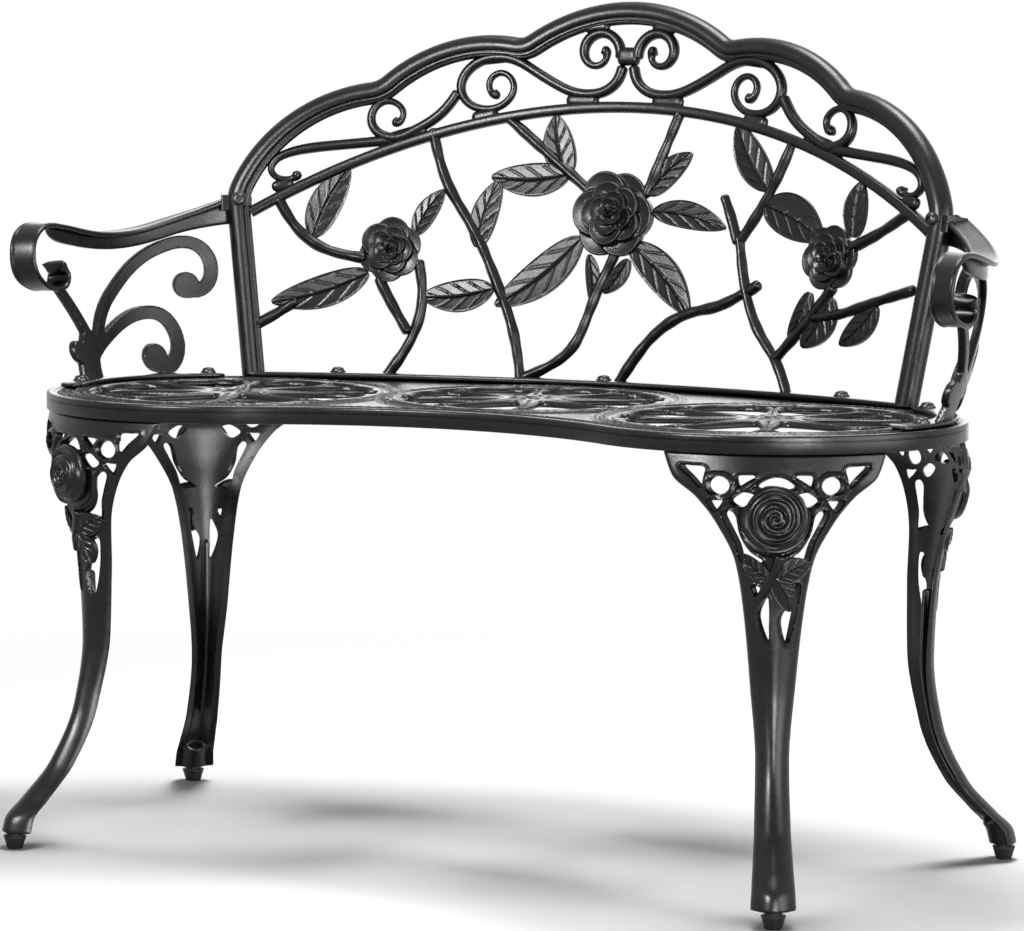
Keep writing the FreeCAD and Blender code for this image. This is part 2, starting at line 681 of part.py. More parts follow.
first, last = ARM_FLANGE_ENDS
flange_angles = [first + (last - first) * i / ARM_FLANGE_STEPS for i in range(ARM_FLANGE_STEPS + 1)]
flange_level = UP * (d.seat_height + d.arm_flange_thickness / 2)
arm_flange_radius = arm_base_radius - ARM_FLANGE_SETBACK
arm_flange = carry([on_lobe(arm_flange_radius, angle) + flange_level for angle in flange_angles],
                   [arm_normal(angle) for angle in flange_angles],
                   flat_bar(d.arm_flange_thickness, d.arm_flange_width)).solid
midline = (Vector(0, 0, 0), Vector(1, 0, 0))
arm_pieces = {"arm_rail": arm_rail_solids, "arm_scrolls": arm_scrolls, "arm_flange": [arm_flange]}
for label, solids in arm_pieces.items():
    add_shape(f"right_{label}", Part.makeCompound(solids))
    opposite = [trim(solid.mirror(*midline), rail.lengths) for solid in solids]
    add_shape(f"left_{label}", Part.makeCompound([part for shape in opposite for part in solids_of(shape)]))

# Legs: one casting, drawn facing -Y from its lobe centre, and placed four times

# The drawing's top corner (across, up), which gives it its width and height
LEG_CORNER = (101, 401)
leg_bottom = d.glide_height + d.collar_height + d.toe_gap
leg_top = d.seat_height - d.rim_height
TOE_FRONT = 13.0
SHAFT_IN = -12.0
FACE_SPANS = 4
# Height share, width share (toe to waist below, waist to top above), sweep share or face offset, bulge
TOE_ROWS = ((0.0, 1.0, 1.0, 16), (0.035, 0.85, 0.95, 16), (0.08, 0.6, 0.75, 15), (0.16, 0.22, 0.42, 14),
            (0.3, 0.0, 0.12, 14))
KNEE_ROWS = ((0.47, 0.06, -12, 14), (0.63, 0.135, -10, 14), (0.75, 0.23, -4, 14.5), (0.84, 0.435, 2, 17),
             (0.9, 0.655, 4, 20.5), (0.945, 0.9, 1, 25.5), (1.0, 1.0, -5, 28.5))
leg_rows = [(share, d.leg_waist_width + (d.toe_width - d.leg_waist_width) * wide,
             SHAFT_IN + (d.toe_reach + TOE_FRONT - SHAFT_IN) * sweep, bulge)
            for share, wide, sweep, bulge in TOE_ROWS]
leg_rows += [(share, d.leg_waist_width + (d.leg_top_width - d.leg_waist_width) * wide, face, bulge)
             for share, wide, face, bulge in KNEE_ROWS]


def leg_place(across, out, height):
    return Vector(across, -(d.lobe_radius + out), height)


def leg_level(share):
    return leg_bottom + (leg_top - leg_bottom) * share


def face_line(half, face, bulge):
    """(across, out) along one rounded face of the leg."""
    line = []
    for index in range(FACE_SPANS + 1):
        place = 2 * index / FACE_SPANS - 1
        line.append((half * place, face - bulge * place ** 2))
    return line


shell_rings = []
for share, width, face, bulge in leg_rows:
    outer = face_line(width / 2, face, bulge)
    inner = face_line(width / 2 - d.leg_wall, face - d.leg_wall, bulge - d.leg_wall)
    shell_rings.append([leg_place(a, o, leg_level(share)) for a, o in outer + inner[::-1]])

TOE_DEPTH = 27.0
toe_rings = []
for share, width, face, bulge in leg_rows[:2]:
    toe_line = face_line(width / 2, face, bulge)
    toe_line += [(width / 2, face - TOE_DEPTH), (-width / 2, face - TOE_DEPTH)]
    toe_rings.append([leg_place(a, o, leg_level(share)) for a, o in toe_line])

PLATE_REACH = -50.0
_, top_width, top_face, top_bulge = leg_rows[-1]
half_wall = d.leg_wall / 2
plate_line = face_line(top_width / 2 - half_wall, top_face - half_wall, top_bulge - half_wall)
plate_line += [(plate_line[-1][0], PLATE_REACH), (plate_line[0][0], PLATE_REACH)]
plate_rings = [[leg_place(a, o, z) for a, o in plate_line] for z in (leg_top - d.leg_plate, leg_top)]

RIB_HALF = 2.0
RIB_DEPTH = 7.0
RIB_ROOT = 1.0
rib_rings = []
for share, width, face, bulge in leg_rows[3:7]:
    root = face - d.leg_wall + RIB_ROOT
    end = root - RIB_DEPTH
    corners = ((-RIB_HALF, root), (RIB_HALF, root), (RIB_HALF, end), (-RIB_HALF, end))
    rib_rings.append([leg_place(a, o, leg_level(share)) for a, o in corners])


def leg_height_of(drawn):
    return leg_level(drawn / LEG_CORNER[1])


def leg_across_of(drawn):
    return drawn * d.leg_top_width / (2 * LEG_CORNER[0])


LEG_ROSE_UP = 343.0
LEG_ROSE_OUT = -2.0
LEG_ROSE_RELIEF = 0.6
LEG_ROSE_CORNERS = 10
LEG_ROSE_TIERS = 3
leg_rose = rose(leg_place(0, LEG_ROSE_OUT, leg_height_of(LEG_ROSE_UP)), Vector(1, 0, 0), UP,
                Vector(0, -LEG_ROSE_RELIEF, 0), d.leg_rose, LEG_ROSE_CORNERS, LEG_ROSE_TIERS)

# Cut-outs of the leg's pierced top, drawn as (across, up); those of the first group come in pairs
CORNER = [(83, 389), (64, 387), (67, 371)]
BESIDE_RING = [(20, 380), (37, 379), (35, 370)]
SIDE_SLOT = [(36, 346), (43, 350), (48, 347), (36, 322), (28, 303), (11, 305), (23, 314), (32, 328)]
EYELET = [(20, 362), (28, 367), (39, 359), (29, 353)]
RING_CENTRE = (52, 372.5)
RING_RADIUS = 10.0
RING_SIDES = 8
RING_HOLE = spiral(RING_CENTRE, RING_RADIUS, RING_RADIUS, 0, 360, RING_SIDES + 1)[:-1]
CROWN_LENS = [(-15, 372), (2, 379), (18, 371), (1, 367)]
LEFT_SLIT = [(-5, 268), (-13, 255), (-10, 240), (-4, 229)]
RIGHT_SLIT = [(16, 280), (22, 280), (18, 250), (14, 228), (8, 246), (9, 262)]


def leg_opening(drawn):
    ring = [Vector(leg_across_of(a), -2 * d.lobe_radius, leg_height_of(up)) for a, up in drawn]
    return flat_face(ring).extrude(Vector(0, 2 * d.lobe_radius, 0))


openings = [leg_opening(drawn) for drawn in (CROWN_LENS, LEFT_SLIT, RIGHT_SLIT)]
for drawn in (CORNER, BESIDE_RING, SIDE_SLOT, EYELET, RING_HOLE):
    openings += [leg_opening(drawn), leg_opening(flip(drawn))]

STUD_SIDES = 10
STUD_ROOM = 1.0
foot_centre = leg_place(0, d.toe_reach, 0)
hole_corners = polygon_at(foot_centre, d.stud_diameter / 2 + d.stud_clearance, STUD_SIDES)
stud_hole = flat_face(hole_corners).extrude(UP * (d.glide_height + d.stud_length + STUD_ROOM))
leg = ring_loft(shell_rings).multiFuse([ring_loft(toe_rings), ring_loft(plate_rings), ring_loft(rib_rings)])
leg = leg.cut(openings).fuse(leg_rose).cut(stud_hole)
leg_places = {}
for name, side, facing in leg_facings:
    turn = Rotation(UP, side * (facing + 90))
    leg_places[name] = Placement(Vector(side * d.lobe_offset, 0, 0), turn)
    add_shape(f"{name}_leg", leg).Placement = leg_places[name]

# Feet: an eight-sided tapered plug with a lock collar, moulded round a stud that screws up into the toe

PLUG_SIDES = 8


def prism(name, sides, diameter, height, base):
    """An upright prism whose sizes and level are expressions on the sheet."""
    feature = doc.addObject("Part::Prism", name)
    feature.Polygon = sides
    feature.setExpression("Circumradius", f"{diameter} / 2")
    feature.setExpression("Height", height)
    feature.setExpression("Placement.Base.z", base)
    return feature


tread = polygon_at(Vector(0, 0, 0), d.glide_bottom / 2, PLUG_SIDES)
shoulder = polygon_at(UP * d.glide_height, d.glide_top / 2, PLUG_SIDES)
for name, place in leg_places.items():
    taper = doc.addObject("Part::Feature", f"{name}_taper")
    taper.Shape = ring_loft([tread, shoulder])
    plug = doc.addObject("Part::Fuse", f"{name}_plug")
    plug.Base = taper
    plug.Tool = prism(f"{name}_collar", PLUG_SIDES, "Sizes.glide_bottom", "Sizes.collar_height",
                      "Sizes.glide_height * 1 mm")
    stud_base = "(Sizes.glide_height - Sizes.stud_grip) * 1 mm"
    glide = doc.addObject("Part::Cut", f"{name}_glide")
    glide.Base = plug
    glide.Tool = prism(f"{name}_bore", STUD_SIDES, "Sizes.stud_diameter",
                       "Sizes.stud_grip + Sizes.collar_height", stud_base)
    stud = prism(f"{name}_stud", STUD_SIDES, "Sizes.stud_diameter", "Sizes.stud_grip + Sizes.stud_length",
                 stud_base)
    doc.recompute()
    foot_place = place.multiply(Placement(foot_centre, Rotation()))
    stud.setExpression("Placement.Base.z", None)
    stud.Placement = foot_place.multiply(Placement(UP * (d.glide_height - d.stud_grip), Rotation()))
    glide.Placement = foot_place
    keep(glide, f"{name}_glide")
    keep(stud, f"{name}_stud")

# Stand the bench with the middle of its floor plan on the origin

doc.recompute()
front_edge = min(feature.Shape.BoundBox.YMin for feature in nodes)
rear_edge = max(feature.Shape.BoundBox.YMax for feature in nodes)
to_middle = Placement(Vector(0, -(front_edge + rear_edge) / 2, 0), Rotation())
for feature in nodes:
    feature.Placement = to_middle.multiply(feature.Placement)
doc.recompute()

# Check every object, then write one STEP file for each piece

for item in doc.Objects:
    if "Invalid" in item.State or "Error" in item.State:
        raise RuntimeError(f"{item.Label} failed: {item.State}")
for feature in nodes:
    if feature.Shape.isNull() or not feature.Shape.isValid() or not feature.Shape.Solids:
        raise RuntimeError(f"{feature.Label} has no valid solid")
os.makedirs("parts", exist_ok=True)
for feature in nodes:
    feature.Shape.exportStep(f"parts/{feature.Label}.step")
print(len(nodes), "pieces; depth", round(rear_edge - front_edge, 3), "mm, moved back by",
      round(to_middle.Base.y, 3), "mm")
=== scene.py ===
# %% [markdown]
# A garden bench of cast aluminium, dressed for its portrait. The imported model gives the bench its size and
# its bodies. The castings that show are then made again here as smooth surfaces, with the rounding, veins,
# petals, threads and fasteners that the plain solids leave out.

# %% Frame and units
import math

import bmesh
import bpy
import numpy as np
from mathutils import Matrix, Vector


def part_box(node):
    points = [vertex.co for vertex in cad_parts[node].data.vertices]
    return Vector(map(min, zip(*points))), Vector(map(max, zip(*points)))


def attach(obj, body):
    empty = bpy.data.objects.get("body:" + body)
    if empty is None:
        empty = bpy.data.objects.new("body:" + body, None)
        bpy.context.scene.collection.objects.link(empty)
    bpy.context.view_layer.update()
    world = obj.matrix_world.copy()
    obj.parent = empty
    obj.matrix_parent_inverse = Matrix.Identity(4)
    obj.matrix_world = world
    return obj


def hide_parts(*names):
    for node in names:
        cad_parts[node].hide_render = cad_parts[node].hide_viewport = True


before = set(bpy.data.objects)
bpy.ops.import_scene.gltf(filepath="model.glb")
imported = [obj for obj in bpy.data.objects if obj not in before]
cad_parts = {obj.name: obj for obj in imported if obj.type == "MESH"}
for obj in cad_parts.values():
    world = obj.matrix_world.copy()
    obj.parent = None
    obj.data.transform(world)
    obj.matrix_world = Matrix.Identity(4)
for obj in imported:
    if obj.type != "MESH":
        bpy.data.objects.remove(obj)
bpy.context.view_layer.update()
MM = 0.001
SEAT_HEIGHT = 434.0
LOBE_OFFSET = 292.0
REAR_REACH = 261.0
_, seat_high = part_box("seat_casting")
LOBE_Y = seat_high.y / MM - REAR_REACH
print("lobe centres lie", round(LOBE_Y, 3), "mm from the middle of the plan")

# %% [markdown]
# Shapes are drawn in millimetres, with the centres of the seat's round ends on the line y = 0. A surface
# here is a set of points with four-cornered and three-cornered faces. Modifiers could bevel and thicken
# plain meshes, but cast ornament swells and tapers everywhere, so each shape is worked out as whole arrays
# of points. The first tools put points and faces together.

# %% Surfaces from whole arrays


def surface(points, quads=None, tris=None):
    """Points with their faces; a missing kind of face becomes an empty list."""
    quads = np.zeros((0, 4), int) if quads is None else quads
    tris = np.zeros((0, 3), int) if tris is None else tris
    return np.asarray(points, float).reshape(-1, 3), quads, tris


def joined(parts):
    """Several surfaces as one, with the face numbers moved on by the points before them."""
    starts = np.cumsum([0] + [len(points) for points, _, _ in parts])
    quads = [quad + start for (_, quad, _), start in zip(parts, starts)]
    tris = [tri + start for (_, _, tri), start in zip(parts, starts)]
    return np.concatenate([part[0] for part in parts]), np.concatenate(quads), np.concatenate(tris)


def moved(part, change):
    """A surface whose points have gone through a function of the whole point array."""
    points, quads, tris = part
    return change(points), quads, tris


def cell_corners(grid):
    """The four corners of every cell of a grid, taken round the cell."""
    return np.stack([grid[:-1, :-1], grid[1:, :-1], grid[1:, 1:], grid[:-1, 1:]], axis=-1)


def grid_quads(rows, columns, wrap_rows=False, wrap_columns=False):
    """Faces of a grid of points, closed on itself along either direction where asked."""
    index = np.arange(rows * columns).reshape(rows, columns)
    if wrap_rows:
        index = np.concatenate([index, index[:1]])
    if wrap_columns:
        index = np.concatenate([index, index[:, :1]], axis=1)
    return cell_corners(index).reshape(-1, 4)


def tube(rings, loop=False):
    """Rings of points joined into a skin; an open one is closed at each end by a fan about its middle."""
    rows, columns, _ = rings.shape
    quads = grid_quads(rows, columns, loop, True)
    if loop:
        return surface(rings, quads)
    around = np.arange(columns)
    after = np.roll(around, -1)
    last = (rows - 1) * columns
    poles = np.stack([rings[0].mean(axis=0), rings[-1].mean(axis=0)])
    near = np.stack([np.full(columns, rows * columns), around, after], axis=-1)
    far = np.stack([np.full(columns, rows * columns + 1), last + after, last + around], axis=-1)
    return surface(np.concatenate([rings.reshape(-1, 3), poles]), quads, np.concatenate([near, far]))


open_faces, closed_faces = (len(grid_quads(3, 3, wrap, wrap)) for wrap in (False, True))
print("a grid of 3 by 3 points has", open_faces, "faces, or", closed_faces, "when closed on itself")

# %% [markdown]
# Rails, scrolls, stems, straps and flanges are all bars, so one tool serves them: a section carried along
# a path. A bevelled curve object would do as much for a bar of one thickness. Here the section may also
# change along the path, swell, and round off at both ends.

# %% Bars along a path


def unit(vectors):
    """Vectors divided by their lengths."""
    return vectors / np.linalg.norm(vectors, axis=-1, keepdims=True)


def lengths_along(points):
    """Distance from the first point to each point, measured along the line."""
    return np.concatenate([[0], np.cumsum(np.linalg.norm(np.diff(points, axis=0), axis=1))])


def at_lengths(points, run, wanted):
    """Values at the wanted distances along a line whose points lie at the distances in run."""
    return np.stack([np.interp(wanted, run, column) for column in points.T], axis=-1)


END_STEPS = 7
TIP_ANGLE = 0.12


def stations(length, step, start_round, end_round):
    """Even stations along a length, with closer ones where an end is rounded off."""
    quarter = 1 - np.cos(np.linspace(TIP_ANGLE, np.pi / 2, END_STEPS))
    straight = length - start_round - end_round
    places = [np.linspace(start_round, length - end_round, max(int(straight / step), 2))]
    if start_round:
        places.append(start_round * quarter)
    if end_round:
        places.append(length - end_round * quarter)
    return np.unique(np.round(np.concatenate(places), 4))


def roundness(distance, radius):
    """Width of a ball-shaped end as a share: the height of a quarter circle at a distance from its tip."""
    if not radius:
        return np.ones_like(distance)
    return np.sqrt(np.clip(1 - (1 - np.clip(distance / radius, 0, 1)) ** 2, 1e-3, 1))


def carried(path, normals, section, step=4.0, start_round=0.0, end_round=0.0, loop=False, widen=None):
    """A section carried along a path.

    At each station the section's first axis lies along path-direction x normal, its second along the normal.
    normals holds one direction for each point of the path, or one for all of them.
    widen(share, distance, length) scales the section, and a rounded end shrinks it along a quarter circle.
    """
    path = np.asarray(path, float)
    normals = np.broadcast_to(np.asarray(normals, float), path.shape)
    if loop:
        path = np.concatenate([path, path[:1]])
        normals = np.concatenate([normals, normals[:1]])
    run = lengths_along(path)
    length = run[-1]
    if loop:
        places = np.linspace(0, length, max(int(length / step), 8))[:-1]
    else:
        places = stations(length, step, start_round, end_round)
    points = at_lengths(path, run, places)
    out = unit(at_lengths(normals, run, places))
    if loop:
        ahead = unit(np.roll(points, -1, axis=0) - np.roll(points, 1, axis=0))
    else:
        ahead = unit(np.gradient(points, axis=0))
    side = unit(np.cross(ahead, out))
    out = np.cross(side, ahead)
    scale = roundness(places, start_round) * roundness(length - places, end_round)
    if widen is not None:
        scale = scale * widen(places / length, places, length)
    profile = section(places / length) if callable(section) else section
    profile = profile * scale[:, None, None]
    rings = points[:, None] + side[:, None] * profile[..., :1] + out[:, None] * profile[..., 1:]
    return tube(rings, loop)


print("a bar of 100 mm with round ends of 5 mm has", len(stations(100, 4, 5, 5)), "stations")

# %% [markdown]
# Castings have soft sections, because the pattern must draw out of the sand. A box with bevelled edges
# would keep flat sides. A superellipse goes from a circle to nearly a square by one power, and may be
# rounder in front than behind.

# %% Sections


def round_steps(count):
    """Even angles round a full turn."""
    return np.arange(count) * math.tau / count


def round_points(radius, angle):
    """Points of a plane from their radius and angle."""
    return np.stack([radius * np.cos(angle), radius * np.sin(angle)], axis=-1)


def soft_section(width, depth, front=2.2, back=2.2, count=20):
    """A superellipse, |side|^p + |out|^p = 1, with one power p for its front half and one for its back."""
    turn = round_steps(count)
    power = np.where(np.sin(turn) >= 0, 2 / front, 2 / back)
    across = width / 2 * np.sign(np.cos(turn)) * np.abs(np.cos(turn)) ** power
    out = depth / 2 * np.sign(np.sin(turn)) * np.abs(np.sin(turn)) ** power
    return np.stack([across, out], axis=-1)


print("a plain section has", len(soft_section(1, 1)), "points")

# %% [markdown]
# The lines of the castings swing in arcs, splines and curls. Blender's curve objects could draw them all.
# Worked out here, the points of a line can also be bent onto a carrier, mirrored, and used again as the
# border of a cut sheet.

# %% Lines


def spline(points, count=80):
    """The natural cubic curve through the points, spaced by the distances between them."""
    points = np.asarray(points, float)
    knots = lengths_along(points)
    gaps = np.diff(knots)
    size = len(points)
    system = np.eye(size)
    target = np.zeros_like(points)
    inner = np.arange(1, size - 1)
    system[inner, inner - 1] = gaps[:-1]
    system[inner, inner] = 2 * (gaps[:-1] + gaps[1:])
    system[inner, inner + 1] = gaps[1:]
    slopes = np.diff(points, axis=0) / gaps[:, None]
    target[1:-1] = 6 * np.diff(slopes, axis=0)
    bends = np.linalg.solve(system, target)
    wanted = np.linspace(0, knots[-1], count)
    span = np.clip(np.searchsorted(knots, wanted, side="right") - 1, 0, size - 2)
    gap = gaps[span][:, None]
    before = (wanted - knots[span])[:, None]
    after = gap - before
    return (bends[span] * after ** 3 + bends[span + 1] * before ** 3) / (6 * gap) + (
        (points[span] / gap - bends[span] * gap / 6) * after
        + (points[span + 1] / gap - bends[span + 1] * gap / 6) * before)


def circle_through(first, middle, end, count=60):
    """Points on the arc through three points of a plane, from the first by the middle one to the end."""
    a, b, c = (complex(*point) for point in (first, middle, end))
    ratio = (c - a) / (b - a)
    centre = (b - a) * (ratio - abs(ratio) ** 2) / (2j * ratio.imag) + a
    start, through, stop = (np.angle(point - centre) for point in (a, b, c))
    turn = (stop - start) % math.tau
    if (through - start) % math.tau > turn:
        turn -= math.tau
    angles = start + turn * np.linspace(0, 1, count)
    return np.array([centre.real, centre.imag]) + round_points(abs(a - centre), angles)


def spiral(centre, start_radius, end_radius, start, turn, count=90):
    """A spiral whose radius changes evenly with its angle, from a start and through a turn in degrees."""
    share = np.linspace(0, 1, count)
    radius = start_radius + (end_radius - start_radius) * share
    return np.array(centre) + round_points(radius, np.radians(start + turn * share))


def closed_curve(points, steps=7):
    """A smooth closed curve through points: cubic spans with slopes along their neighbours' chords."""
    points = np.asarray(points, float)
    before, after, beyond = (np.roll(points, shift, axis=0) for shift in (1, -1, -2))
    start, end = (after - before) / 2, (beyond - points) / 2
    share = (np.arange(steps) / steps)[:, None, None]
    spans = (points + start * share + (3 * (after - points) - 2 * start - end) * share ** 2
             + (2 * (points - after) + start + end) * share ** 3)
    return spans.transpose(1, 0, 2).reshape(-1, 2)


def eased(line, step=2.5, reach=9):
    """A line at even steps, each point the mean of those around it, which rounds off its corners."""
    run = lengths_along(line)
    even = at_lengths(line, run, np.linspace(0, run[-1], int(run[-1] / step)))
    weights = np.full(reach, 1 / reach)
    means = np.stack([np.convolve(column, weights, "valid") for column in even.T], axis=-1)
    return np.concatenate([even[:1], means, even[-1:]])


def mirrored(line):
    """A drawn line on the other side of the midline."""
    return np.asarray(line) * np.array([-1, 1])


def flipped(part):
    """A surface on the other side of the bench's midline."""
    return moved(part, lambda points: points * np.array([-1, 1, 1]))


half_circle = circle_through((1, 0), (0, 1), (-1, 0))
print("a half circle of radius 1 is", round(float(lengths_along(half_circle)[-1]), 3), "long")

# %% [markdown]
# Seat, legs and arm panels are pierced plates. Cutting every opening with boolean modifiers is slow and
# leaves ragged corners. Here a field says how far each place lies inside the metal, and a sheet is cut
# where the field is zero.

# %% Sheets cut along a distance field
CROSSING_RANGE = (0.02, 0.98)


def crossing_share(near, far):
    """The share of the way between two values where a straight line crosses zero, held off both ends."""
    crosses = (near > 0) != (far > 0)
    return np.clip(near / np.where(crosses, near - far, 1), *CROSSING_RANGE)


def cut_sheet(field_of, xs, ys):
    """Triangles over the places of a grid where the field is above zero.

    Each cell keeps the polygon between its inside corners and the points where its sides cross zero, found by
    straight interpolation. The patterns of inside corners are handled one by one, each for all cells at once.
    """
    grid = np.stack(np.meshgrid(xs, ys, indexing="ij"), axis=-1)
    field = field_of(grid)
    corner = np.arange(field.size).reshape(field.shape)
    share_x = crossing_share(field[:-1], field[1:])
    on_x = grid[:-1] + (grid[1:] - grid[:-1]) * share_x[..., None]
    share_y = crossing_share(field[:, :-1], field[:, 1:])
    on_y = grid[:, :-1] + (grid[:, 1:] - grid[:, :-1]) * share_y[..., None]
    cross_x = corner.size + np.arange(on_x[..., 0].size).reshape(on_x.shape[:2])
    cross_y = corner.size + cross_x.size + np.arange(on_y[..., 0].size).reshape(on_y.shape[:2])
    corners = cell_corners(corner)
    sides = np.stack([cross_x[:, :-1], cross_y[1:], cross_x[:, 1:], cross_y[:-1]], axis=-1)
    pattern = cell_corners(field > 0) @ np.array([1, 2, 4, 8])
    tris = []
    for case in range(1, 16):
        cells = pattern == case
        kept = [bool(case >> k & 1) for k in range(4)]
        ring = []
        for k in range(4):
            if kept[k]:
                ring.append(corners[cells][:, k])
            if kept[k] != kept[(k + 1) % 4]:
                ring.append(sides[cells][:, k])
        tris.extend(np.stack([ring[0], ring[k], ring[k + 1]], axis=-1) for k in range(1, len(ring) - 1))
    tris = np.concatenate(tris)
    points = np.concatenate([grid.reshape(-1, 2), on_x.reshape(-1, 2), on_y.reshape(-1, 2)])
    used, numbers = np.unique(tris, return_inverse=True)
    return points[used], numbers.reshape(-1, 3)


def thick_sheet(front, back, tris):
    """A front and a back with the same triangles, joined by walls along every edge that has one triangle."""
    count = len(front)
    edges = tris[:, [[0, 1], [1, 2], [2, 0]]].reshape(-1, 2)
    _, first, uses = np.unique(np.sort(edges, axis=1), axis=0, return_index=True, return_counts=True)
    rim = edges[first[uses == 1]]
    walls = np.stack([rim[:, 1], rim[:, 0], rim[:, 0] + count, rim[:, 1] + count], axis=-1)
    return surface(np.concatenate([front, back]), walls, np.concatenate([tris, tris[:, ::-1] + count]))


trial_places = np.arange(-11, 11.5, 0.5)
_, trial_tris = cut_sheet(lambda points: 10 - np.linalg.norm(points, axis=-1), trial_places, trial_places)
print("a disc of radius 10 is cut into", len(trial_tris), "triangles")

# %% [markdown]
# A field is made of distances: to a line, or to a closed outline. Forms that meet are merged by taking the
# larger of their fields, with a fillet between them. The distance from the edge also tells how far a
# rounded edge falls away, so no bevel modifier is needed.

# %% Distances that make a field


def line_distance(points, line):
    """Distance from each point to a line of straight runs: the least over its runs."""
    best = np.full(points.shape[:-1], np.inf)
    for start, end in zip(line[:-1], line[1:]):
        run = end - start
        share = np.clip(((points - start) @ run) / max(run @ run, 1e-9), 0, 1)
        best = np.minimum(best, np.linalg.norm(points - start - share[..., None] * run, axis=-1))
    return best


def outside_of(points, corners):
    """Signed distance to a closed outline: above zero outside it, below zero inside."""
    corners = np.asarray(corners, float)
    ahead = np.roll(corners, -1, axis=0)
    crossings = np.zeros(points.shape[:-1], bool)
    for (ax, ay), (bx, by) in zip(corners, ahead):
        rising = (ay > points[..., 1]) != (by > points[..., 1])
        slope = (bx - ax) / (by - ay) if by != ay else 0.0
        crossings ^= rising & (points[..., 0] < ax + slope * (points[..., 1] - ay))
    distance = line_distance(points, np.concatenate([corners, corners[:1]]))
    return np.where(crossings, -distance, distance)


def soft_most(a, b, blend):
    """The larger of two fields, with a fillet of about the blend's size where they meet."""
    mix = np.clip(0.5 + 0.5 * (a - b) / blend, 0, 1)
    return b + (a - b) * mix + blend * mix * (1 - mix)


def edge_round(depth, radius):
    """How far a rounded edge lies below its flat: r - sqrt(r^2 - (r - depth)^2) within r of the edge."""
    short = radius - np.clip(depth, 0, radius)
    return radius - np.sqrt(radius ** 2 - short ** 2)


square = [(-1, -1), (1, -1), (1, 1), (-1, 1)]
print("the middle of a square of side 2 lies", -float(outside_of(np.zeros(2), square)), "inside its outline")

# %% [markdown]
# A piece is a mesh with a finish, and it says which body carries it and which solids it stands for, so
# that it moves with the model's joints. Its points go into the mesh in one call. Blender then turns all
# faces outward and marks the edges that stay crisp, which is steadier than working out either for every
# shape.

# %% Pieces


def to_frame(points):
    """Drawn millimetres to metres in the bench's frame."""
    return (points + np.array([0, LOBE_Y, 0])) * MM


SHARP_ANGLE = math.radians(38)


def add_piece(name, part, material, body="bench", stands_for=()):
    """One visible piece: its mesh, finish, body and the solids that it stands for."""
    points, quads, tris = part
    mesh = bpy.data.meshes.new(name)
    corners = np.concatenate([quads.ravel(), tris.ravel()]).astype(np.int32)
    sizes = np.concatenate([np.full(len(quads), 4), np.full(len(tris), 3)]).astype(np.int32)
    mesh.vertices.add(len(points))
    mesh.vertices.foreach_set("co", to_frame(points).astype(np.float32).ravel())
    mesh.loops.add(len(corners))
    mesh.loops.foreach_set("vertex_index", corners)
    mesh.polygons.add(len(sizes))
    mesh.polygons.foreach_set("loop_start", (np.cumsum(sizes) - sizes).astype(np.int32))
    mesh.update(calc_edges=True)
    mesh.validate()
    shell = bmesh.new()
    shell.from_mesh(mesh)
    bmesh.ops.recalc_face_normals(shell, faces=shell.faces)
    shell.to_mesh(mesh)
    shell.free()
    mesh.polygons.foreach_set("use_smooth", np.ones(len(mesh.polygons), bool))
    mesh.set_sharp_from_angle(angle=SHARP_ANGLE)
    mesh.materials.append(material)
    piece = bpy.data.objects.new(name, mesh)
    bpy.context.scene.collection.objects.link(piece)
    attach(piece, body)
    if stands_for:
        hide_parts(*stands_for)
    print(name, len(quads) * 2 + len(tris), "triangles")


print("pieces keep edges of more than", round(math.degrees(SHARP_ANGLE)), "degrees crisp")

# %% [markdown]
# The castings have a charcoal powder coat: a sprayed polyester skin, satin, with the fine orange-peel of
# the baked powder over the sand-cast grain of the metal. A painted texture would need unwrapping and blurs
# close up, while noise worked out in the shader stays sharp. The grain is one node group, so that every
# finish can share it.

# %% Grain of the castings
GRAIN_DETAIL = 3.0
WAVE_SCALE = 60.0
WAVE_SHARE = 0.8


def math_node(nodes, operation, second=None):
    """A math node of one kind, with its second value where that is fixed."""
    node = nodes.new("ShaderNodeMath")
    node.operation = operation
    if second is not None:
        node.inputs[1].default_value = second
    return node


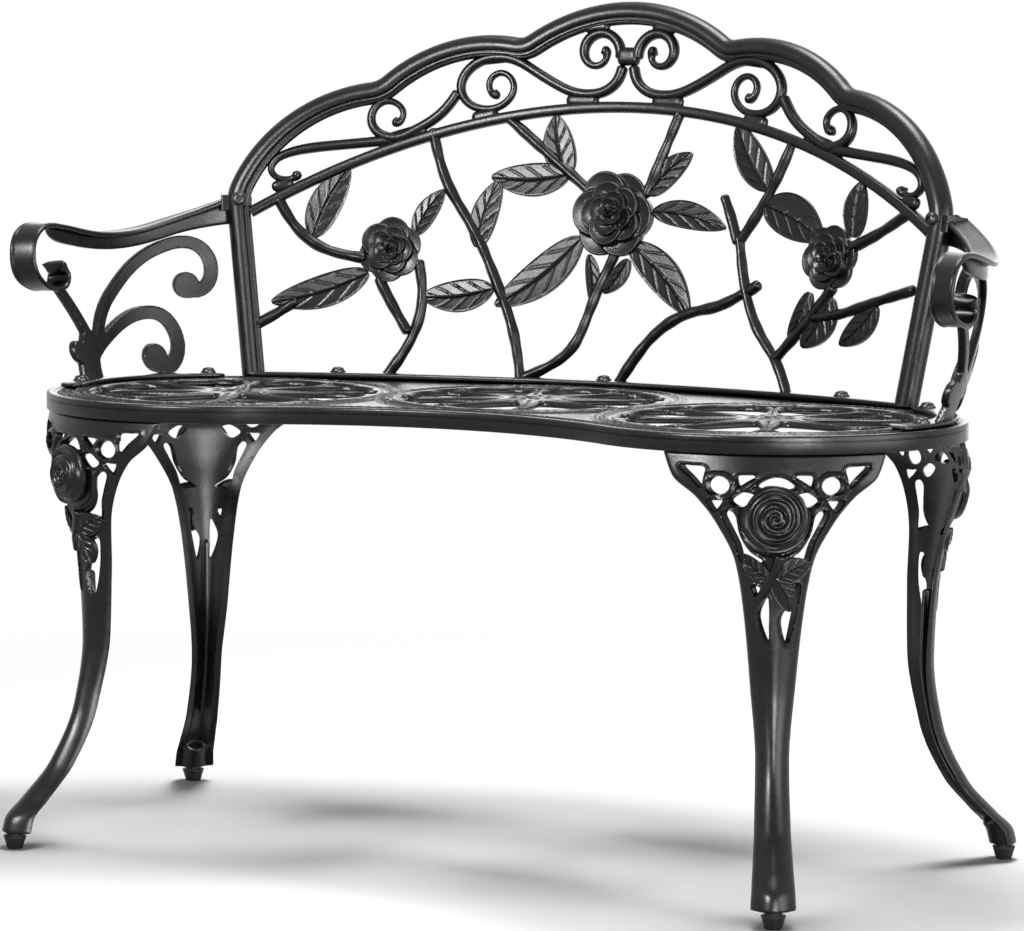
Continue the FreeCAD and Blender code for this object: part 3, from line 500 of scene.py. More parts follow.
def cast_grain_group():
    """Height and roughness of a coated casting: fine powder grain, over slow waves of the sand mould."""
    group = bpy.data.node_groups.new("cast_grain", "ShaderNodeTree")
    for label, value in (("Grain Size", 900.0), ("Roughness", 0.45), ("Spread", 0.12)):
        socket = group.interface.new_socket(label, in_out="INPUT", socket_type="NodeSocketFloat")
        socket.default_value = value
    for label in ("Height", "Roughness"):
        group.interface.new_socket(label, in_out="OUTPUT", socket_type="NodeSocketFloat")
    nodes, links = group.nodes, group.links
    start, end = nodes.new("NodeGroupInput"), nodes.new("NodeGroupOutput")
    place = nodes.new("ShaderNodeTexCoord")
    fine = nodes.new("ShaderNodeTexNoise")
    fine.inputs["Detail"].default_value = GRAIN_DETAIL
    slow = nodes.new("ShaderNodeTexNoise")
    slow.inputs["Scale"].default_value = WAVE_SCALE
    mix = math_node(nodes, "MULTIPLY_ADD", WAVE_SHARE)
    centre = math_node(nodes, "SUBTRACT", 0.5)
    rough = math_node(nodes, "MULTIPLY_ADD")
    links.new(place.outputs["Object"], fine.inputs["Vector"])
    links.new(place.outputs["Object"], slow.inputs["Vector"])
    links.new(start.outputs["Grain Size"], fine.inputs["Scale"])
    links.new(slow.outputs["Fac"], mix.inputs[0])
    links.new(fine.outputs["Fac"], mix.inputs[2])
    links.new(slow.outputs["Fac"], centre.inputs[0])
    links.new(centre.outputs[0], rough.inputs[0])
    links.new(start.outputs["Spread"], rough.inputs[1])
    links.new(start.outputs["Roughness"], rough.inputs[2])
    links.new(mix.outputs[0], end.inputs["Height"])
    links.new(rough.outputs[0], end.inputs["Roughness"])
    return group


grain = cast_grain_group()
print("the cast grain has", len(grain.nodes), "nodes")

# %% [markdown]
# Coat, plugs, fasteners and studs are one kind of material at other strengths: two shades mixed by the
# grain, with roughness and a fine bump from it. Four separate node trees would repeat the same links, so a
# function makes each. The carried-over solids get the same finishes.

# %% Finishes
GRAIN_HEIGHT = 0.0004
GLOSS = 0.22


def coated(name, colour, pale, roughness, grain_size, bump, metallic=0.0):
    """A grained material: two shades mixed by the grain, its roughness from the group and a fine bump."""
    material = bpy.data.materials.new(name)
    material.use_nodes = True
    nodes, links = material.node_tree.nodes, material.node_tree.links
    shader = nodes["Principled BSDF"]
    shader.inputs["Metallic"].default_value = metallic
    shader.inputs["Specular IOR Level"].default_value = GLOSS
    effect = nodes.new("ShaderNodeGroup")
    effect.node_tree = grain
    effect.inputs["Grain Size"].default_value = grain_size
    effect.inputs["Roughness"].default_value = roughness
    shade = nodes.new("ShaderNodeMix")
    shade.data_type = "RGBA"
    shade.inputs["A"].default_value = (*colour, 1)
    shade.inputs["B"].default_value = (*pale, 1)
    relief = nodes.new("ShaderNodeBump")
    relief.inputs["Strength"].default_value = bump
    relief.inputs["Distance"].default_value = GRAIN_HEIGHT
    links.new(effect.outputs["Height"], shade.inputs["Factor"])
    links.new(shade.outputs["Result"], shader.inputs["Base Color"])
    links.new(effect.outputs["Roughness"], shader.inputs["Roughness"])
    links.new(effect.outputs["Height"], relief.inputs["Height"])
    links.new(relief.outputs["Normal"], shader.inputs["Normal"])
    return material


powder_coat = coated("powder_coat", colour=(0.0045, 0.0045, 0.0048), pale=(0.011, 0.011, 0.0115),
                     roughness=0.28, grain_size=1100.0, bump=0.35)
plug_plastic = coated("foot_plug", colour=(0.010, 0.010, 0.010), pale=(0.020, 0.020, 0.020),
                      roughness=0.55, grain_size=700.0, bump=0.2)
black_steel = coated("black_fastener", colour=(0.020, 0.020, 0.022), pale=(0.045, 0.045, 0.048),
                     roughness=0.34, grain_size=600.0, bump=0.12, metallic=0.7)
zinc = coated("stud_steel", colour=(0.42, 0.42, 0.43), pale=(0.55, 0.55, 0.56),
              roughness=0.36, grain_size=500.0, bump=0.1, metallic=1.0)
for name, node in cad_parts.items():
    node.data.materials.clear()
    kind = name.rsplit("_", 1)[-1]
    node.data.materials.append({"glide": plug_plastic, "stud": zinc}.get(kind, powder_coat))


def add_casting(name, part, *stands_for):
    """A powder-coated piece of the bench, in the place of the solids named."""
    add_piece(name, part, powder_coat, stands_for=stands_for)


print(len(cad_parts), "carried-over solids have a finish")

# %% [markdown]
# The backrest is one casting on a leaning, curved sheet. Every bar of it is drawn flat as (across, up) in
# millimetres and bent onto that sheet. A curve modifier could bend it too, but each rose, leaf and bolt
# would need its own. One function that gives the place and one that gives the facing serve all of them.

# %% Backrest sheet
BACK_INSET = 23.0
BACK_RADIUS = 860.0
BACK_LEAN = math.tan(math.radians(9))


def on_back(drawn, out=0.0):
    """Drawn (across, up) points on the back's middle sheet, moved out towards the sitter."""
    across, up = np.asarray(drawn, float)[..., 0], np.asarray(drawn, float)[..., 1]
    y = REAR_REACH - BACK_INSET - BACK_RADIUS + np.sqrt(BACK_RADIUS ** 2 - across ** 2) + BACK_LEAN * up
    points = np.stack([across, y, SEAT_HEIGHT + up], axis=-1)
    return points + back_facing(drawn) * np.asarray(out)[..., None]


def back_facing(drawn):
    """The direction from the back's sheet towards the sitter."""
    across = np.asarray(drawn, float)[..., 0]
    run = np.sqrt(BACK_RADIUS ** 2 - across ** 2)
    return unit(np.stack([-across / run, np.full_like(run, -1.0), np.full_like(run, BACK_LEAN)], axis=-1))


def back_bar(drawn, section, **options):
    """A section carried along a drawn line of the back."""
    return carried(on_back(drawn), back_facing(drawn), section, **options)


print("the back's foot lies", round(float(on_back((0, 0))[1]), 1), "mm behind the lobes' centres")

# %% [markdown]
# The top rail is a round bar that rises from both posts in scallops, with three fine flutes on its inner
# side. It could be a curve with a round bevel and a bump for the flutes. Carrying a section of many points
# along the line cuts the flutes into the metal itself, so they catch the light as cast ones do.

# %% Top rail
POST_FOOT = (363, 2)
POST_TOP = (391, 184)
SHOULDER = (350, 253)
OUTER_CUSP = (260, 292)
HAUNCH = (189, 335)
INNER_CUSP = (114, 336)
CROWN = (0, 375)
RAIL_WIDTH = 23.7
RAIL_POINTS = 96
FLUTES = np.radians([124, 145, 166])
FLUTE_HALF = math.radians(6.5)
FLUTE_DEPTH = 2.3


def bell(distance, width):
    """A bell curve: e to the power -(distance / width)^2."""
    return np.exp(-(distance / width) ** 2)


def fluted_section():
    """A circle with shallow grooves: the radius dips by a bell curve about each flute's angle."""
    turn = round_steps(RAIL_POINTS)
    dips = bell(turn[:, None] - FLUTES, FLUTE_HALF).sum(axis=1)
    return round_points(RAIL_WIDTH / 2 - FLUTE_DEPTH * dips, turn)


half_rail = np.concatenate([[POST_FOOT], circle_through(POST_TOP, SHOULDER, OUTER_CUSP)[:-1],
                            circle_through(OUTER_CUSP, HAUNCH, INNER_CUSP)[:-1]])
crown = circle_through(INNER_CUSP, CROWN, (-INNER_CUSP[0], INNER_CUSP[1]))
rail_line = eased(np.concatenate([half_rail, crown, mirrored(half_rail)[::-1]]))
add_casting("back_top_rail", back_bar(rail_line, fluted_section(), step=4.5), "back_rail")

# %% [markdown]
# Below the rail an arch bar spans the back, and scrolls fill the space between: a heart, an S, a branch
# and a feather on either side, tied by small pads where they touch. Bevelled curves would keep one
# thickness. Here a function of the distance along each line slims the bar in its curl and ends it in a
# bead. The bars are rounder in front than behind, as a two-part sand mould leaves them.

# %% Arch bar, scrolls and the pads that tie them together
ARCH_END = (378, 168)
ARCH_CROWN = (0, 280)
ARCH_SECTION = soft_section(11.5, 12, 2.8, 3.6, 28)
SCROLL_SECTION = soft_section(9, 10, 2.2, 3.2)
HEART_TIE = [(-12, 331), (0, 331), (12, 331)]
TIE_SECTION = soft_section(19, 15, 3, 3, 28)
HEART = spiral((34, 334), start_radius=25, end_radius=6, start=195, turn=-430)
S_LINE = spline([
    (6, 322), (11, 307), (24, 296), (43, 292.5), (59, 294.5), (80, 303), (102, 315), (125, 326.5),
    (148, 328.5), (169, 320), (180, 300), (172, 283), (153, 276), (134, 281), (124, 297), (129, 309),
    (140, 313), (149, 307), (150, 298), (145, 291.5), (138, 292)], 220)
BRANCH = spline([
    (182, 294), (195, 275), (210, 262), (225, 253), (241, 246), (256, 248), (267, 258), (268, 272),
    (261, 281), (251, 283), (241, 278), (237, 270), (241, 262), (248, 263)], 160)
FEATHER = spline([
    (250, 243), (296, 238), (328, 234), (347, 229), (359, 221), (362, 212), (356, 204), (346, 202),
    (338, 205), (336, 211)], 120)
# Start, end and width of each pad
PADS = (((30, 286), (66, 286), 13), ((24, 362), (52, 359), 12), ((120, 331), (164, 326), 12),
        ((138, 272), (166, 266), 13), ((212, 256), (262, 240), 13), ((252, 287), (268, 284), 11),
        ((340, 200), (360, 193), 12))
PAD_DEPTH = 9.0
SCROLL_FULL = 1.2
CURL_START = 0.45
CURL_SPAN = 0.45
CURL_SLIMMING = 0.45
BEAD_SIZE = 4.5
BEAD_SWELL = 0.45


def smooth(share):
    """A share that leaves 0 and reaches 1 gently: s^2 (3 - 2 s)."""
    return share ** 2 * (3 - 2 * share)


def curled(share, distance, length):
    """A scroll bar's scale: full at first, slimmer in the curl, with a bead of a bell curve at its tip."""
    slim = smooth(np.clip((share - CURL_START) / CURL_SPAN, 0, 1))
    bead = bell(length - distance - BEAD_SIZE, BEAD_SIZE)
    return SCROLL_FULL - CURL_SLIMMING * slim + BEAD_SWELL * bead


arch_line = circle_through(ARCH_END, ARCH_CROWN, (-ARCH_END[0], ARCH_END[1]))
add_casting("back_arch", back_bar(arch_line, ARCH_SECTION, step=6), "back_arch_bar")
scroll_parts = [back_bar(HEART_TIE, TIE_SECTION, step=2, start_round=5, end_round=5)]
for side in (1, -1):
    mirror = np.array([side, 1])
    for line in (HEART, S_LINE, BRANCH, FEATHER):
        scroll_parts.append(back_bar(line * mirror, SCROLL_SECTION, step=2, start_round=3, end_round=4,
                                     widen=curled))
    for start, end, width in PADS:
        pad = np.linspace(start, end, 5) * mirror
        scroll_parts.append(back_bar(pad, soft_section(width, PAD_DEPTH, 2.5, 3), step=3,
                                     start_round=6, end_round=6))
add_casting("back_scrolls", joined(scroll_parts), "back_scrollwork")

# %% [markdown]
# Rose stems climb from the foot flange to the arch. Each is a bar with slow swellings and bark ridges, so
# that its highlight breaks up along it as on the cast metal. A bump texture could roughen plain bars, but
# their outlines would stay straight, and waves in the radius show at the edges too.

# %% Stems
STEMS = (
    [(-354, 184), (-331, 150), (-308, 133), (-262, 122)], [(-250, 104), (-236, 80), (-214, 46)],
    [(-210, 122), (-203, 79), (-209, 46), (-235, 0)],
    [(-206, 256), (-184, 196), (-154, 152), (-131, 110), (-104, 50), (-92, 0)],
    [(-128, 268), (-83, 233), (-30, 193)], [(64, 278), (48, 236), (30, 190)],
    [(5, 140), (-21, 79), (-38, 38), (-92, 4)], [(14, 0), (66, 64), (96, 78), (121, 84), (155, 100)],
    [(201, 256), (175, 198), (143, 148)], [(121, 195), (132, 172), (142, 146)],
    [(143, 156), (157, 97), (176, 60), (197, 35), (215, 0)], [(156, 100), (164, 104), (172, 110)],
    [(278, 148), (312, 164), (352, 188)], [(194, 34), (224, 66), (262, 112)],
    [(364, 113), (313, 98), (262, 82), (238, 78)], [(-326, 79), (-344, 66), (-366, 52)],
)
STEM_WIDTH = 11.0
# Waves along a stem: millimetres for each radian, and height as a share of the radius
KNUCKLES = (9.0, 0.06)
BARK = (3.7, 0.035)
RIDGES = 4
RIDGE_HEIGHT = 0.05
RIDGE_TURN = 0.6


def barked(share, distance, length):
    """A stem's scale: two waves of unlike lengths along it, as knuckles and bark leave them."""
    knuckles = KNUCKLES[1] * np.sin(distance / KNUCKLES[0] + length)
    return 1.0 + knuckles + BARK[1] * np.sin(distance / BARK[0] + 2 * length)


def bark_section(count=30):
    """A round section with shallow ridges: the radius follows a cosine with one wave for each ridge."""
    turn = round_steps(count)
    return round_points(STEM_WIDTH / 2 * (1 + RIDGE_HEIGHT * np.cos(RIDGES * turn + RIDGE_TURN)), turn)


stem_parts = [back_bar(spline(line), bark_section(), step=2.5, start_round=4, end_round=4, widen=barked)
              for line in STEMS]
add_casting("back_rose_stems", joined(stem_parts), "back_stems")

# %% [markdown]
# A leaf is a thin blade, pillowed on each side of a sharp midrib, with raised side veins and a fine rim.
# One could be modelled by hand and copied, but each has its own length and width and is bent onto its
# carrier. So it is a function of the share along the blade and the share across it, laid wherever a leaf
# is wanted.

# %% Leaves


def closed_sheet(front, back):
    """A front and a back grid of points, joined by a wall round their edge."""
    rows, columns, _ = front.shape
    index = np.arange(rows * columns).reshape(rows, columns)
    rim = np.concatenate([index[0, :-1], index[:-1, -1], index[-1, :0:-1], index[:0:-1, 0]])
    faces = grid_quads(rows, columns)
    after = np.roll(rim, -1)
    walls = np.stack([after, rim, rim + index.size, after + index.size], axis=-1)
    points = np.concatenate([front.reshape(-1, 3), back.reshape(-1, 3)])
    return surface(points, np.concatenate([faces, faces[:, ::-1] + index.size, walls]))


LEAF_ROWS = 60
LEAF_COLUMNS = 41
# The blade's grid stops short of both points
LEAF_RANGE = (0.012, 0.985)
LEAF_EDGE = 1.6
LEAF_BACK = 2.2
PILLOW = 1.5
VEINS = 4.6
VEIN_SLANT = 1.3
VEIN_HEIGHT = 0.9
MIDRIB_HEIGHT = 1.4
LEAF_RIM = 0.9
CREST_HALF = 0.06


def leaf(base, tip, width, lay, bow=0.05):
    """A blade from base to tip.

    Half-width: share^0.6 x (1 - share)^0.75, so it is fullest before the middle and ends in a point. Front: a
    low swelling, a ridge of a bell curve on the midrib, slanting ridges for the veins and a fine raised rim.
    lay(drawn points, out) puts it on its carrier.
    """
    along, across = np.meshgrid(np.linspace(*LEAF_RANGE, LEAF_ROWS), np.linspace(-1, 1, LEAF_COLUMNS),
                                indexing="ij")
    base, tip = np.array(base, float), np.array(tip, float)
    run = tip - base
    sideways = np.array([-run[1], run[0]]) / np.linalg.norm(run)
    half = width / 2 * np.maximum(2.53 * along ** 0.6 * (1 - along) ** 0.75, 0.05)
    bend = bow * np.linalg.norm(run) * np.sin(np.pi * along)
    drawn = base + along[..., None] * run + (half * across + bend)[..., None] * sideways
    full = np.clip(half / (width / 2), 0, 1) ** 0.6
    edge = 1 - np.abs(across)
    pillow = PILLOW * np.clip(edge, 0, 1) ** 0.7
    vein = (VEINS * along - VEIN_SLANT * np.abs(across)) % 1.0
    veins = VEIN_HEIGHT * bell(vein - 0.5, CREST_HALF) * np.clip(edge * 4, 0, 1)
    midrib = MIDRIB_HEIGHT * bell(across, CREST_HALF)
    rim = LEAF_RIM * bell(edge, CREST_HALF)
    front = LEAF_EDGE + full * (pillow + veins + midrib + rim)
    back = -LEAF_EDGE - full * LEAF_BACK * np.sqrt(np.clip(edge, 0, 1))
    return closed_sheet(lay(drawn, front), lay(drawn, back))


# Base, tip and width of each leaf
LEAVES = (
    ((-318, 142), (-286, 216), 33), ((-216, 146), (-188, 194), 22), ((-258, 108), (-353, 76), 34),
    ((-128, 94), (-205, 84), 33), ((-150, 134), (-130, 206), 28), ((-55, 211), (-141, 207), 34),
    ((-58, 208), (-76, 272), 34), ((34, 192), (81, 236), 26), ((40, 176), (127, 162), 28),
    ((-36, 148), (-127, 76), 38), ((-27, 132), (-20, 80), 15), ((18, 128), (-8, 92), 18),
    ((18, 144), (92, 74), 37), ((176, 200), (131, 266), 34), ((170, 187), (244, 156), 44),
    ((282, 158), (287, 214), 28), ((234, 104), (211, 56), 20), ((262, 100), (228, 49), 34),
    ((318, 94), (274, 54), 26),
)
leaf_parts = [leaf(base, tip, width, on_back) for base, tip, width in LEAVES]
add_casting("back_rose_leaves", joined(leaf_parts), "back_leaves")

# %% [markdown]
# A rose opens in rings of round petals about a rolled bud, each ring smaller and higher than the one
# outside it. Separate petals would need fitting to one another. The real one is cast in one piece, so it
# is a single surface: its height at a place is that of the highest petal there, and its outline is the
# farthest reach of the outer petals. Every petal is dished and rolls down at its rim.

# %% Roses of the back
# Rings of petals as shares of the radius: petals, distance of their centres, petal radius, level
PETAL_RINGS = ((6, 0.46, 0.56, 0.05), (5, 0.33, 0.42, 0.15), (4, 0.22, 0.31, 0.23), (3, 0.12, 0.22, 0.30))
PETAL_LAP = 0.014
PETAL_DISH = 0.09
PETAL_ROLL = 0.14
PETAL_FALL = 0.12
PETAL_WANDER = 0.05
RING_TURN = 0.9
ROSE_RELIEF = 0.95
ROSE_FLOOR = -0.03
# Rings behind a rose: share of its outline, and depth
ROSE_UNDER = ((0.98, -0.07), (0.8, -0.12), (0.4, -0.16))
ROSE_ROWS = 84
ROSE_COLUMNS = 240
BUD_RADIUS = 0.13
BUD_PITCH = 0.55 * BUD_RADIUS
BUD_HEIGHT = 0.035


def rose_skin(flat, height, under):
    """A flower's front from its places and heights, closed behind by smaller rings at their depths."""
    front = np.concatenate([flat, height[..., None]], axis=-1)
    behind = [np.concatenate([flat[-1] * inset, np.full((ROSE_COLUMNS, 1), depth)], axis=-1)
              for inset, depth in under]
    return tube(np.concatenate([front, np.stack(behind)]))


def rose(start):
    """A flower of radius one about the Z axis.

    Height of a petal: its level, plus a dish that grows with the square of the distance from its centre, less
    a steep square fall over the last part of its radius. The rose takes the most over its petals.
    """
    places, sizes, levels = [], [], []
    for ring, (count, distance, size, level) in enumerate(PETAL_RINGS):
        wander = 1 + PETAL_WANDER * np.sin(2.3 * np.arange(count) + ring)
        aims = round_points(1, start + RING_TURN * ring + round_steps(count))
        places.append(aims * (distance * wander)[:, None])
        sizes.append(np.full(count, size))
        levels.append(level + PETAL_LAP * (2 * np.arange(count) % count))
    places, sizes, levels = np.concatenate(places), np.concatenate(sizes), np.concatenate(levels)
    turn = round_steps(ROSE_COLUMNS)
    aim = round_points(1, turn)
    ahead = places @ aim.T
    room = sizes[:, None] ** 2 - (places ** 2).sum(axis=1)[:, None] + ahead ** 2
    reach = (ahead + np.sqrt(np.clip(room, 0, None))).max(axis=0)
    reach = reach / reach.max()
    share = np.linspace(0.015, 1, ROSE_ROWS)
    flat = share[:, None, None] * reach[:, None] * aim
    apart = np.linalg.norm(flat - places[:, None, None], axis=-1) / sizes[:, None, None]
    dish = PETAL_DISH * np.minimum(apart, 1) ** 2
    fall = PETAL_FALL * np.clip((apart - 1 + PETAL_ROLL) / PETAL_ROLL, 0, None) ** 2
    height = np.maximum((levels[:, None, None] + dish - fall).max(axis=0), ROSE_FLOOR)
    out = np.linalg.norm(flat, axis=-1)
    swirl = np.cos(turn - math.tau * out / BUD_PITCH)
    height += BUD_HEIGHT * swirl * np.exp(-(out / BUD_RADIUS) ** 4)
    return moved(rose_skin(flat, height, ROSE_UNDER), lambda points: points * np.array([1, 1, ROSE_RELIEF]))


def rose_on_back(across, up, radius, start):
    """A rose set on the back's sheet, facing the sitter."""
    centre = on_back((across, up))
    facing = back_facing((across, up))
    sideways = unit(np.cross([0, 0, 1], facing))
    axes = np.stack([sideways, np.cross(facing, sideways), facing])
    return moved(rose(start), lambda points: centre + radius * points @ axes)


for name, across, up, radius, start in (("left", -239, 131, 34, 0.4), ("middle", -3, 172, 46, 1.0),
                                        ("right", 255, 138, 34, 2.3)):
    add_casting(f"{name}_rose", rose_on_back(across, up, radius, start), f"back_rose_{name}")

# %% [markdown]
# The back stands on a thin curved flange that is bolted to the seat. It could be a bent box with a bevel.
# A nearly square section carried along the foot of the back's sheet follows its curve and rounds its ends.

# %% Foot flange of the back
FLANGE_REACH = 370.0
FLANGE_WIDTH = 24.0
FLANGE_THICKNESS = 6.0
FLANGE_ROUND = 9.0
flange_across = np.linspace(-FLANGE_REACH, FLANGE_REACH, 120)
flange_drawn = np.stack([flange_across, np.zeros_like(flange_across)], axis=-1)
flange_line = on_back(flange_drawn) + np.array([0, 0, FLANGE_THICKNESS / 2])
flange_out = back_facing(flange_drawn) * np.array([1, 1, 0])
flange_section = soft_section(FLANGE_THICKNESS, FLANGE_WIDTH, 5, 5, 36)
add_casting("back_flange", carried(flange_line, flange_out, flange_section, step=6, start_round=FLANGE_ROUND,
                                   end_round=FLANGE_ROUND), "back_foot_flange")

# %% [markdown]
# Each arm is a bowed panel that stands on the seat's end and is bolted to a post. It could be modelled
# flat and bent by a lattice. Drawn as (degrees round the lobe's centre, up) and put in place by one
# function, its bars meet the post and the seat exactly, and the left arm is the mirror image of the right.

# %% Arm panel
ARM_RAIL = [(55.6, 180.5), (47.7, 170), (38.7, 160), (29, 151), (18.5, 147.3),
            (7, 150.8), (-1, 156), (-8.2, 160)]
VOLUTE = [(-8.2, 160), (-13.3, 159), (-17.6, 149), (-19.2, 132), (-18.4, 113), (-13.5, 99.5), (-7.8, 96),
          (-3.9, 100.5), (-3, 110), (-5.5, 121)]
UPPER_SCROLL = [(9, 36), (13.8, 72), (18.7, 91.5), (24.2, 109.6), (30.7, 125.3), (36.7, 134), (42, 137.5),
                (47.3, 132), (50.2, 117.5), (50.5, 104), (49, 92), (46, 87), (43.3, 89)]
LOWER_SCROLL = [(7, 28), (11, 38), (16, 49), (22.5, 61), (30.2, 66.5), (34.8, 62.5), (38, 50), (39.2, 35.5),
                (38.3, 21), (35, 11.5), (32, 13)]
ARM_FOOT = [(5.6, 40), (3.6, 22), (2.2, 0)]
STRUT = [(-4, 95), (1.6, 69), (6, 42)]
SCROLL_EYES = (((43, 93), 13.5), ((30.8, 20.5), 14.5), ((-0.6, 31), 11.5))
POST_JOINT = (389, 180)
RAIL_END_TURN = 3.2
RAIL_END_OUT = 9.6
ARM_BASE_RADIUS = 170.0
ARM_WAIST_RADIUS = 196.5
ARM_FLARE = 28.0
ARM_WAIST_ANGLE = 14.0
ARM_BOW_HEIGHT = 150.0
ARM_WEB = 8.0
joint = on_back(POST_JOINT)
joint_x, joint_y = joint[0] - LOBE_OFFSET, joint[1]
rail_end_radius = math.hypot(joint_x, joint_y) + RAIL_END_OUT
arm_turn = (math.degrees(math.atan2(joint_y, joint_x)) - RAIL_END_TURN) / ARM_RAIL[0][0]


def round_lobe(radius, degrees, height):
    """Points about the right lobe's centre, from radius, angle and height above the floor."""
    turn = np.radians(degrees)
    across, back = LOBE_OFFSET + radius * np.cos(turn), radius * np.sin(turn)
    return np.stack(np.broadcast_arrays(across, back, height), axis=-1)


def round_facing(degrees):
    """The level direction out from a lobe's centre at an angle."""
    turn = np.radians(degrees)
    return np.stack([np.cos(turn), np.sin(turn), np.zeros_like(turn)], axis=-1)


def on_arm(drawn, out=0.0):
    """Drawn (degrees, up) points on the right arm's panel, moved out from the lobe's centre."""
    drawn = np.asarray(drawn, float)
    angle, up = drawn[..., 0], drawn[..., 1]
    sweep = (angle - ARM_WAIST_ANGLE) / (ARM_RAIL[0][0] - ARM_WAIST_ANGLE)
    flare = np.where(sweep > 0, rail_end_radius - ARM_WAIST_RADIUS, ARM_FLARE)
    top = ARM_WAIST_RADIUS + flare * sweep ** 2
    bow = 1 - (1 - np.clip(up / ARM_BOW_HEIGHT, 0, 1)) ** 2
    radius = ARM_BASE_RADIUS + (top - ARM_BASE_RADIUS) * bow + out
    return round_lobe(radius, arm_turn * angle, SEAT_HEIGHT + up)


def arm_bar(drawn, section, **options):
    """A section carried along a drawn line of the right arm."""
    return carried(on_arm(drawn), round_facing(arm_turn * drawn[..., 0]), section, **options)


# Millimetres for each degree round the panel
ARM_SCALE = np.array([3.4, 1.0])


def arm_curve(drawn, count=80):
    """The smooth line through drawn points of the arm, spaced by their real distances."""
    return spline(np.asarray(drawn) * ARM_SCALE, count) / ARM_SCALE


print("the arm's drawing is stretched by", round(arm_turn, 4), "round the lobe to meet the post")

# %% [markdown]
# The armrest is a flat strap with proud edges. It leaves the post, dips, rises and rolls into a volute
# that ends in a rounded bulb, and an upright web stiffens it from below. A bent flat bar would give the
# strap alone. A section that changes along the line gives the bulb, and the gusset of the web, too.

# %% Arm strap, its volute and its web
STRAP_WIDTH = 26.4
STRAP_THICKNESS = 5.0
STRAP_POINTS = 44
STRAP_HOLLOW = 0.82
LIP_SWELL = 0.3
LIP_INSET = 2.2
LIP_HALF = 1.3
WEB_HEIGHT = 12.0
BULB_LENGTH = 17.0
BULB_THICKNESS = 3.0
KNOB_SHARE = 0.86
GUSSET_SHARE = 0.3
GUSSET_DEPTH = 11.0


def beaded_strap():
    """A flat bar with rounded edges that stand a little proud of its faces."""
    section = soft_section(STRAP_THICKNESS, STRAP_WIDTH, 7, 7, STRAP_POINTS)
    lip = bell(np.abs(section[:, 1]) - STRAP_WIDTH / 2 + LIP_INSET, LIP_HALF)
    section[:, 0] *= STRAP_HOLLOW + LIP_SWELL * lip
    return section


def strap_section(share):
    """The strap's section along it: one width throughout, and a thick, rounded bulb at its inner end."""
    left = (1 - share) * strap_length / BULB_LENGTH
    bulb = np.sqrt(np.clip(1 - (2 * np.clip(left, 0, 1) - 1) ** 2, 0.002, 1))
    swelling = 1 + (BULB_THICKNESS - 1) * np.clip(2 - 2 * left, 0, 1) ** 1.5
    thick = np.where(left < 0.5, BULB_THICKNESS * bulb, swelling)
    knob = soft_section(STRAP_THICKNESS, KNOB_SHARE * STRAP_WIDTH, 2.4, 3.5, STRAP_POINTS)
    blend = np.clip(thick - 1, 0, 1)[:, None, None]
    section = (1 - blend) * beaded_strap() + blend * knob
    section[..., 0] *= thick[:, None]
    return section


def web_profile(share):
    """The upright web below the strap, which deepens into a gusset towards the post."""
    depth = WEB_HEIGHT + GUSSET_DEPTH * np.clip(1 - share / GUSSET_SHARE, 0, 1) ** 2
    section = np.tile(soft_section(1.0, ARM_WEB, 5, 5, 28), (len(share), 1, 1))
    section[..., 0] = (section[..., 0] - 0.5) * (depth + 2)[:, None] - STRAP_THICKNESS / 2 + 1
    return section


web_line = arm_curve(ARM_RAIL)
strap_line = np.concatenate([web_line[:-1], arm_curve(VOLUTE, 120)])
strap_length = lengths_along(on_arm(strap_line))[-1]
print("the strap is", round(float(strap_length)), "mm long with its volute")

# %% [markdown]
# A lug wraps round the back of the post and takes the bolt that holds the arm. It could be cut from a
# block with a boolean. Its plan is a short list of corners, so they are rounded off and carried up the
# post instead.

# %% Lug at the post, and the armrest
LUG_WALL = 7.0
LUG_HEIGHT = 22.0
LUG_RISE = 5.0
POST_HALF = 12.0
LUG_HOLLOW = 8.0
LUG_ROUND = 2.0


def rounded_corners(corners, radius, steps=5):
    """A polygon whose corners are quadratic curves that start and end a radius away along its sides."""
    corners = np.asarray(corners, float)
    before = unit(np.roll(corners, 1, axis=0) - corners) * radius
    after = unit(np.roll(corners, -1, axis=0) - corners) * radius
    share = np.linspace(0, 1, steps)[None, :, None]
    near, far = (corners + before)[:, None], (corners + after)[:, None]
    curves = near * (1 - share) ** 2 + 2 * corners[:, None] * share * (1 - share) + far * share ** 2
    return curves.reshape(-1, 2)


joint_facing = back_facing(POST_JOINT)
joint_side = unit(np.cross([0, 0, 1], joint_facing))
joint_up = np.cross(joint_facing, joint_side)
lug_reach = POST_HALF + LUG_WALL
lug_corners = [(-POST_HALF, -lug_reach), (lug_reach, -lug_reach), (lug_reach, LUG_WALL),
               (LUG_HOLLOW, LUG_WALL), (LUG_HOLLOW, -LUG_HOLLOW), (-POST_HALF, -LUG_HOLLOW)]
lug_line = joint + np.linspace(-LUG_HEIGHT / 2, LUG_RISE, 5)[:, None] * joint_up
arm_rail = joined([
    arm_bar(strap_line, strap_section, step=1.5),
    arm_bar(web_line, web_profile, step=3, end_round=30),
    carried(lug_line, joint_facing, rounded_corners(lug_corners, LUG_ROUND), step=3),
])
for side, shape in (("right", arm_rail), ("left", flipped(arm_rail))):
    add_casting(f"{side}_arm_strap", shape, f"{side}_arm_rail")

# %% [markdown]
# The scrolls below the strap are one flat casting that stands on a curved flange. Bars laid over one
# another would show seams where they fork. Their distances are merged into one field instead, which
# fillets every fork, and a sheet cut along it is bent onto the panel.

# %% Arm scrolls as one pierced sheet
ARM_STEP = 1.2
arm_xs = np.arange(-50, 204, ARM_STEP)
arm_ys = np.arange(1.0, 160, ARM_STEP)
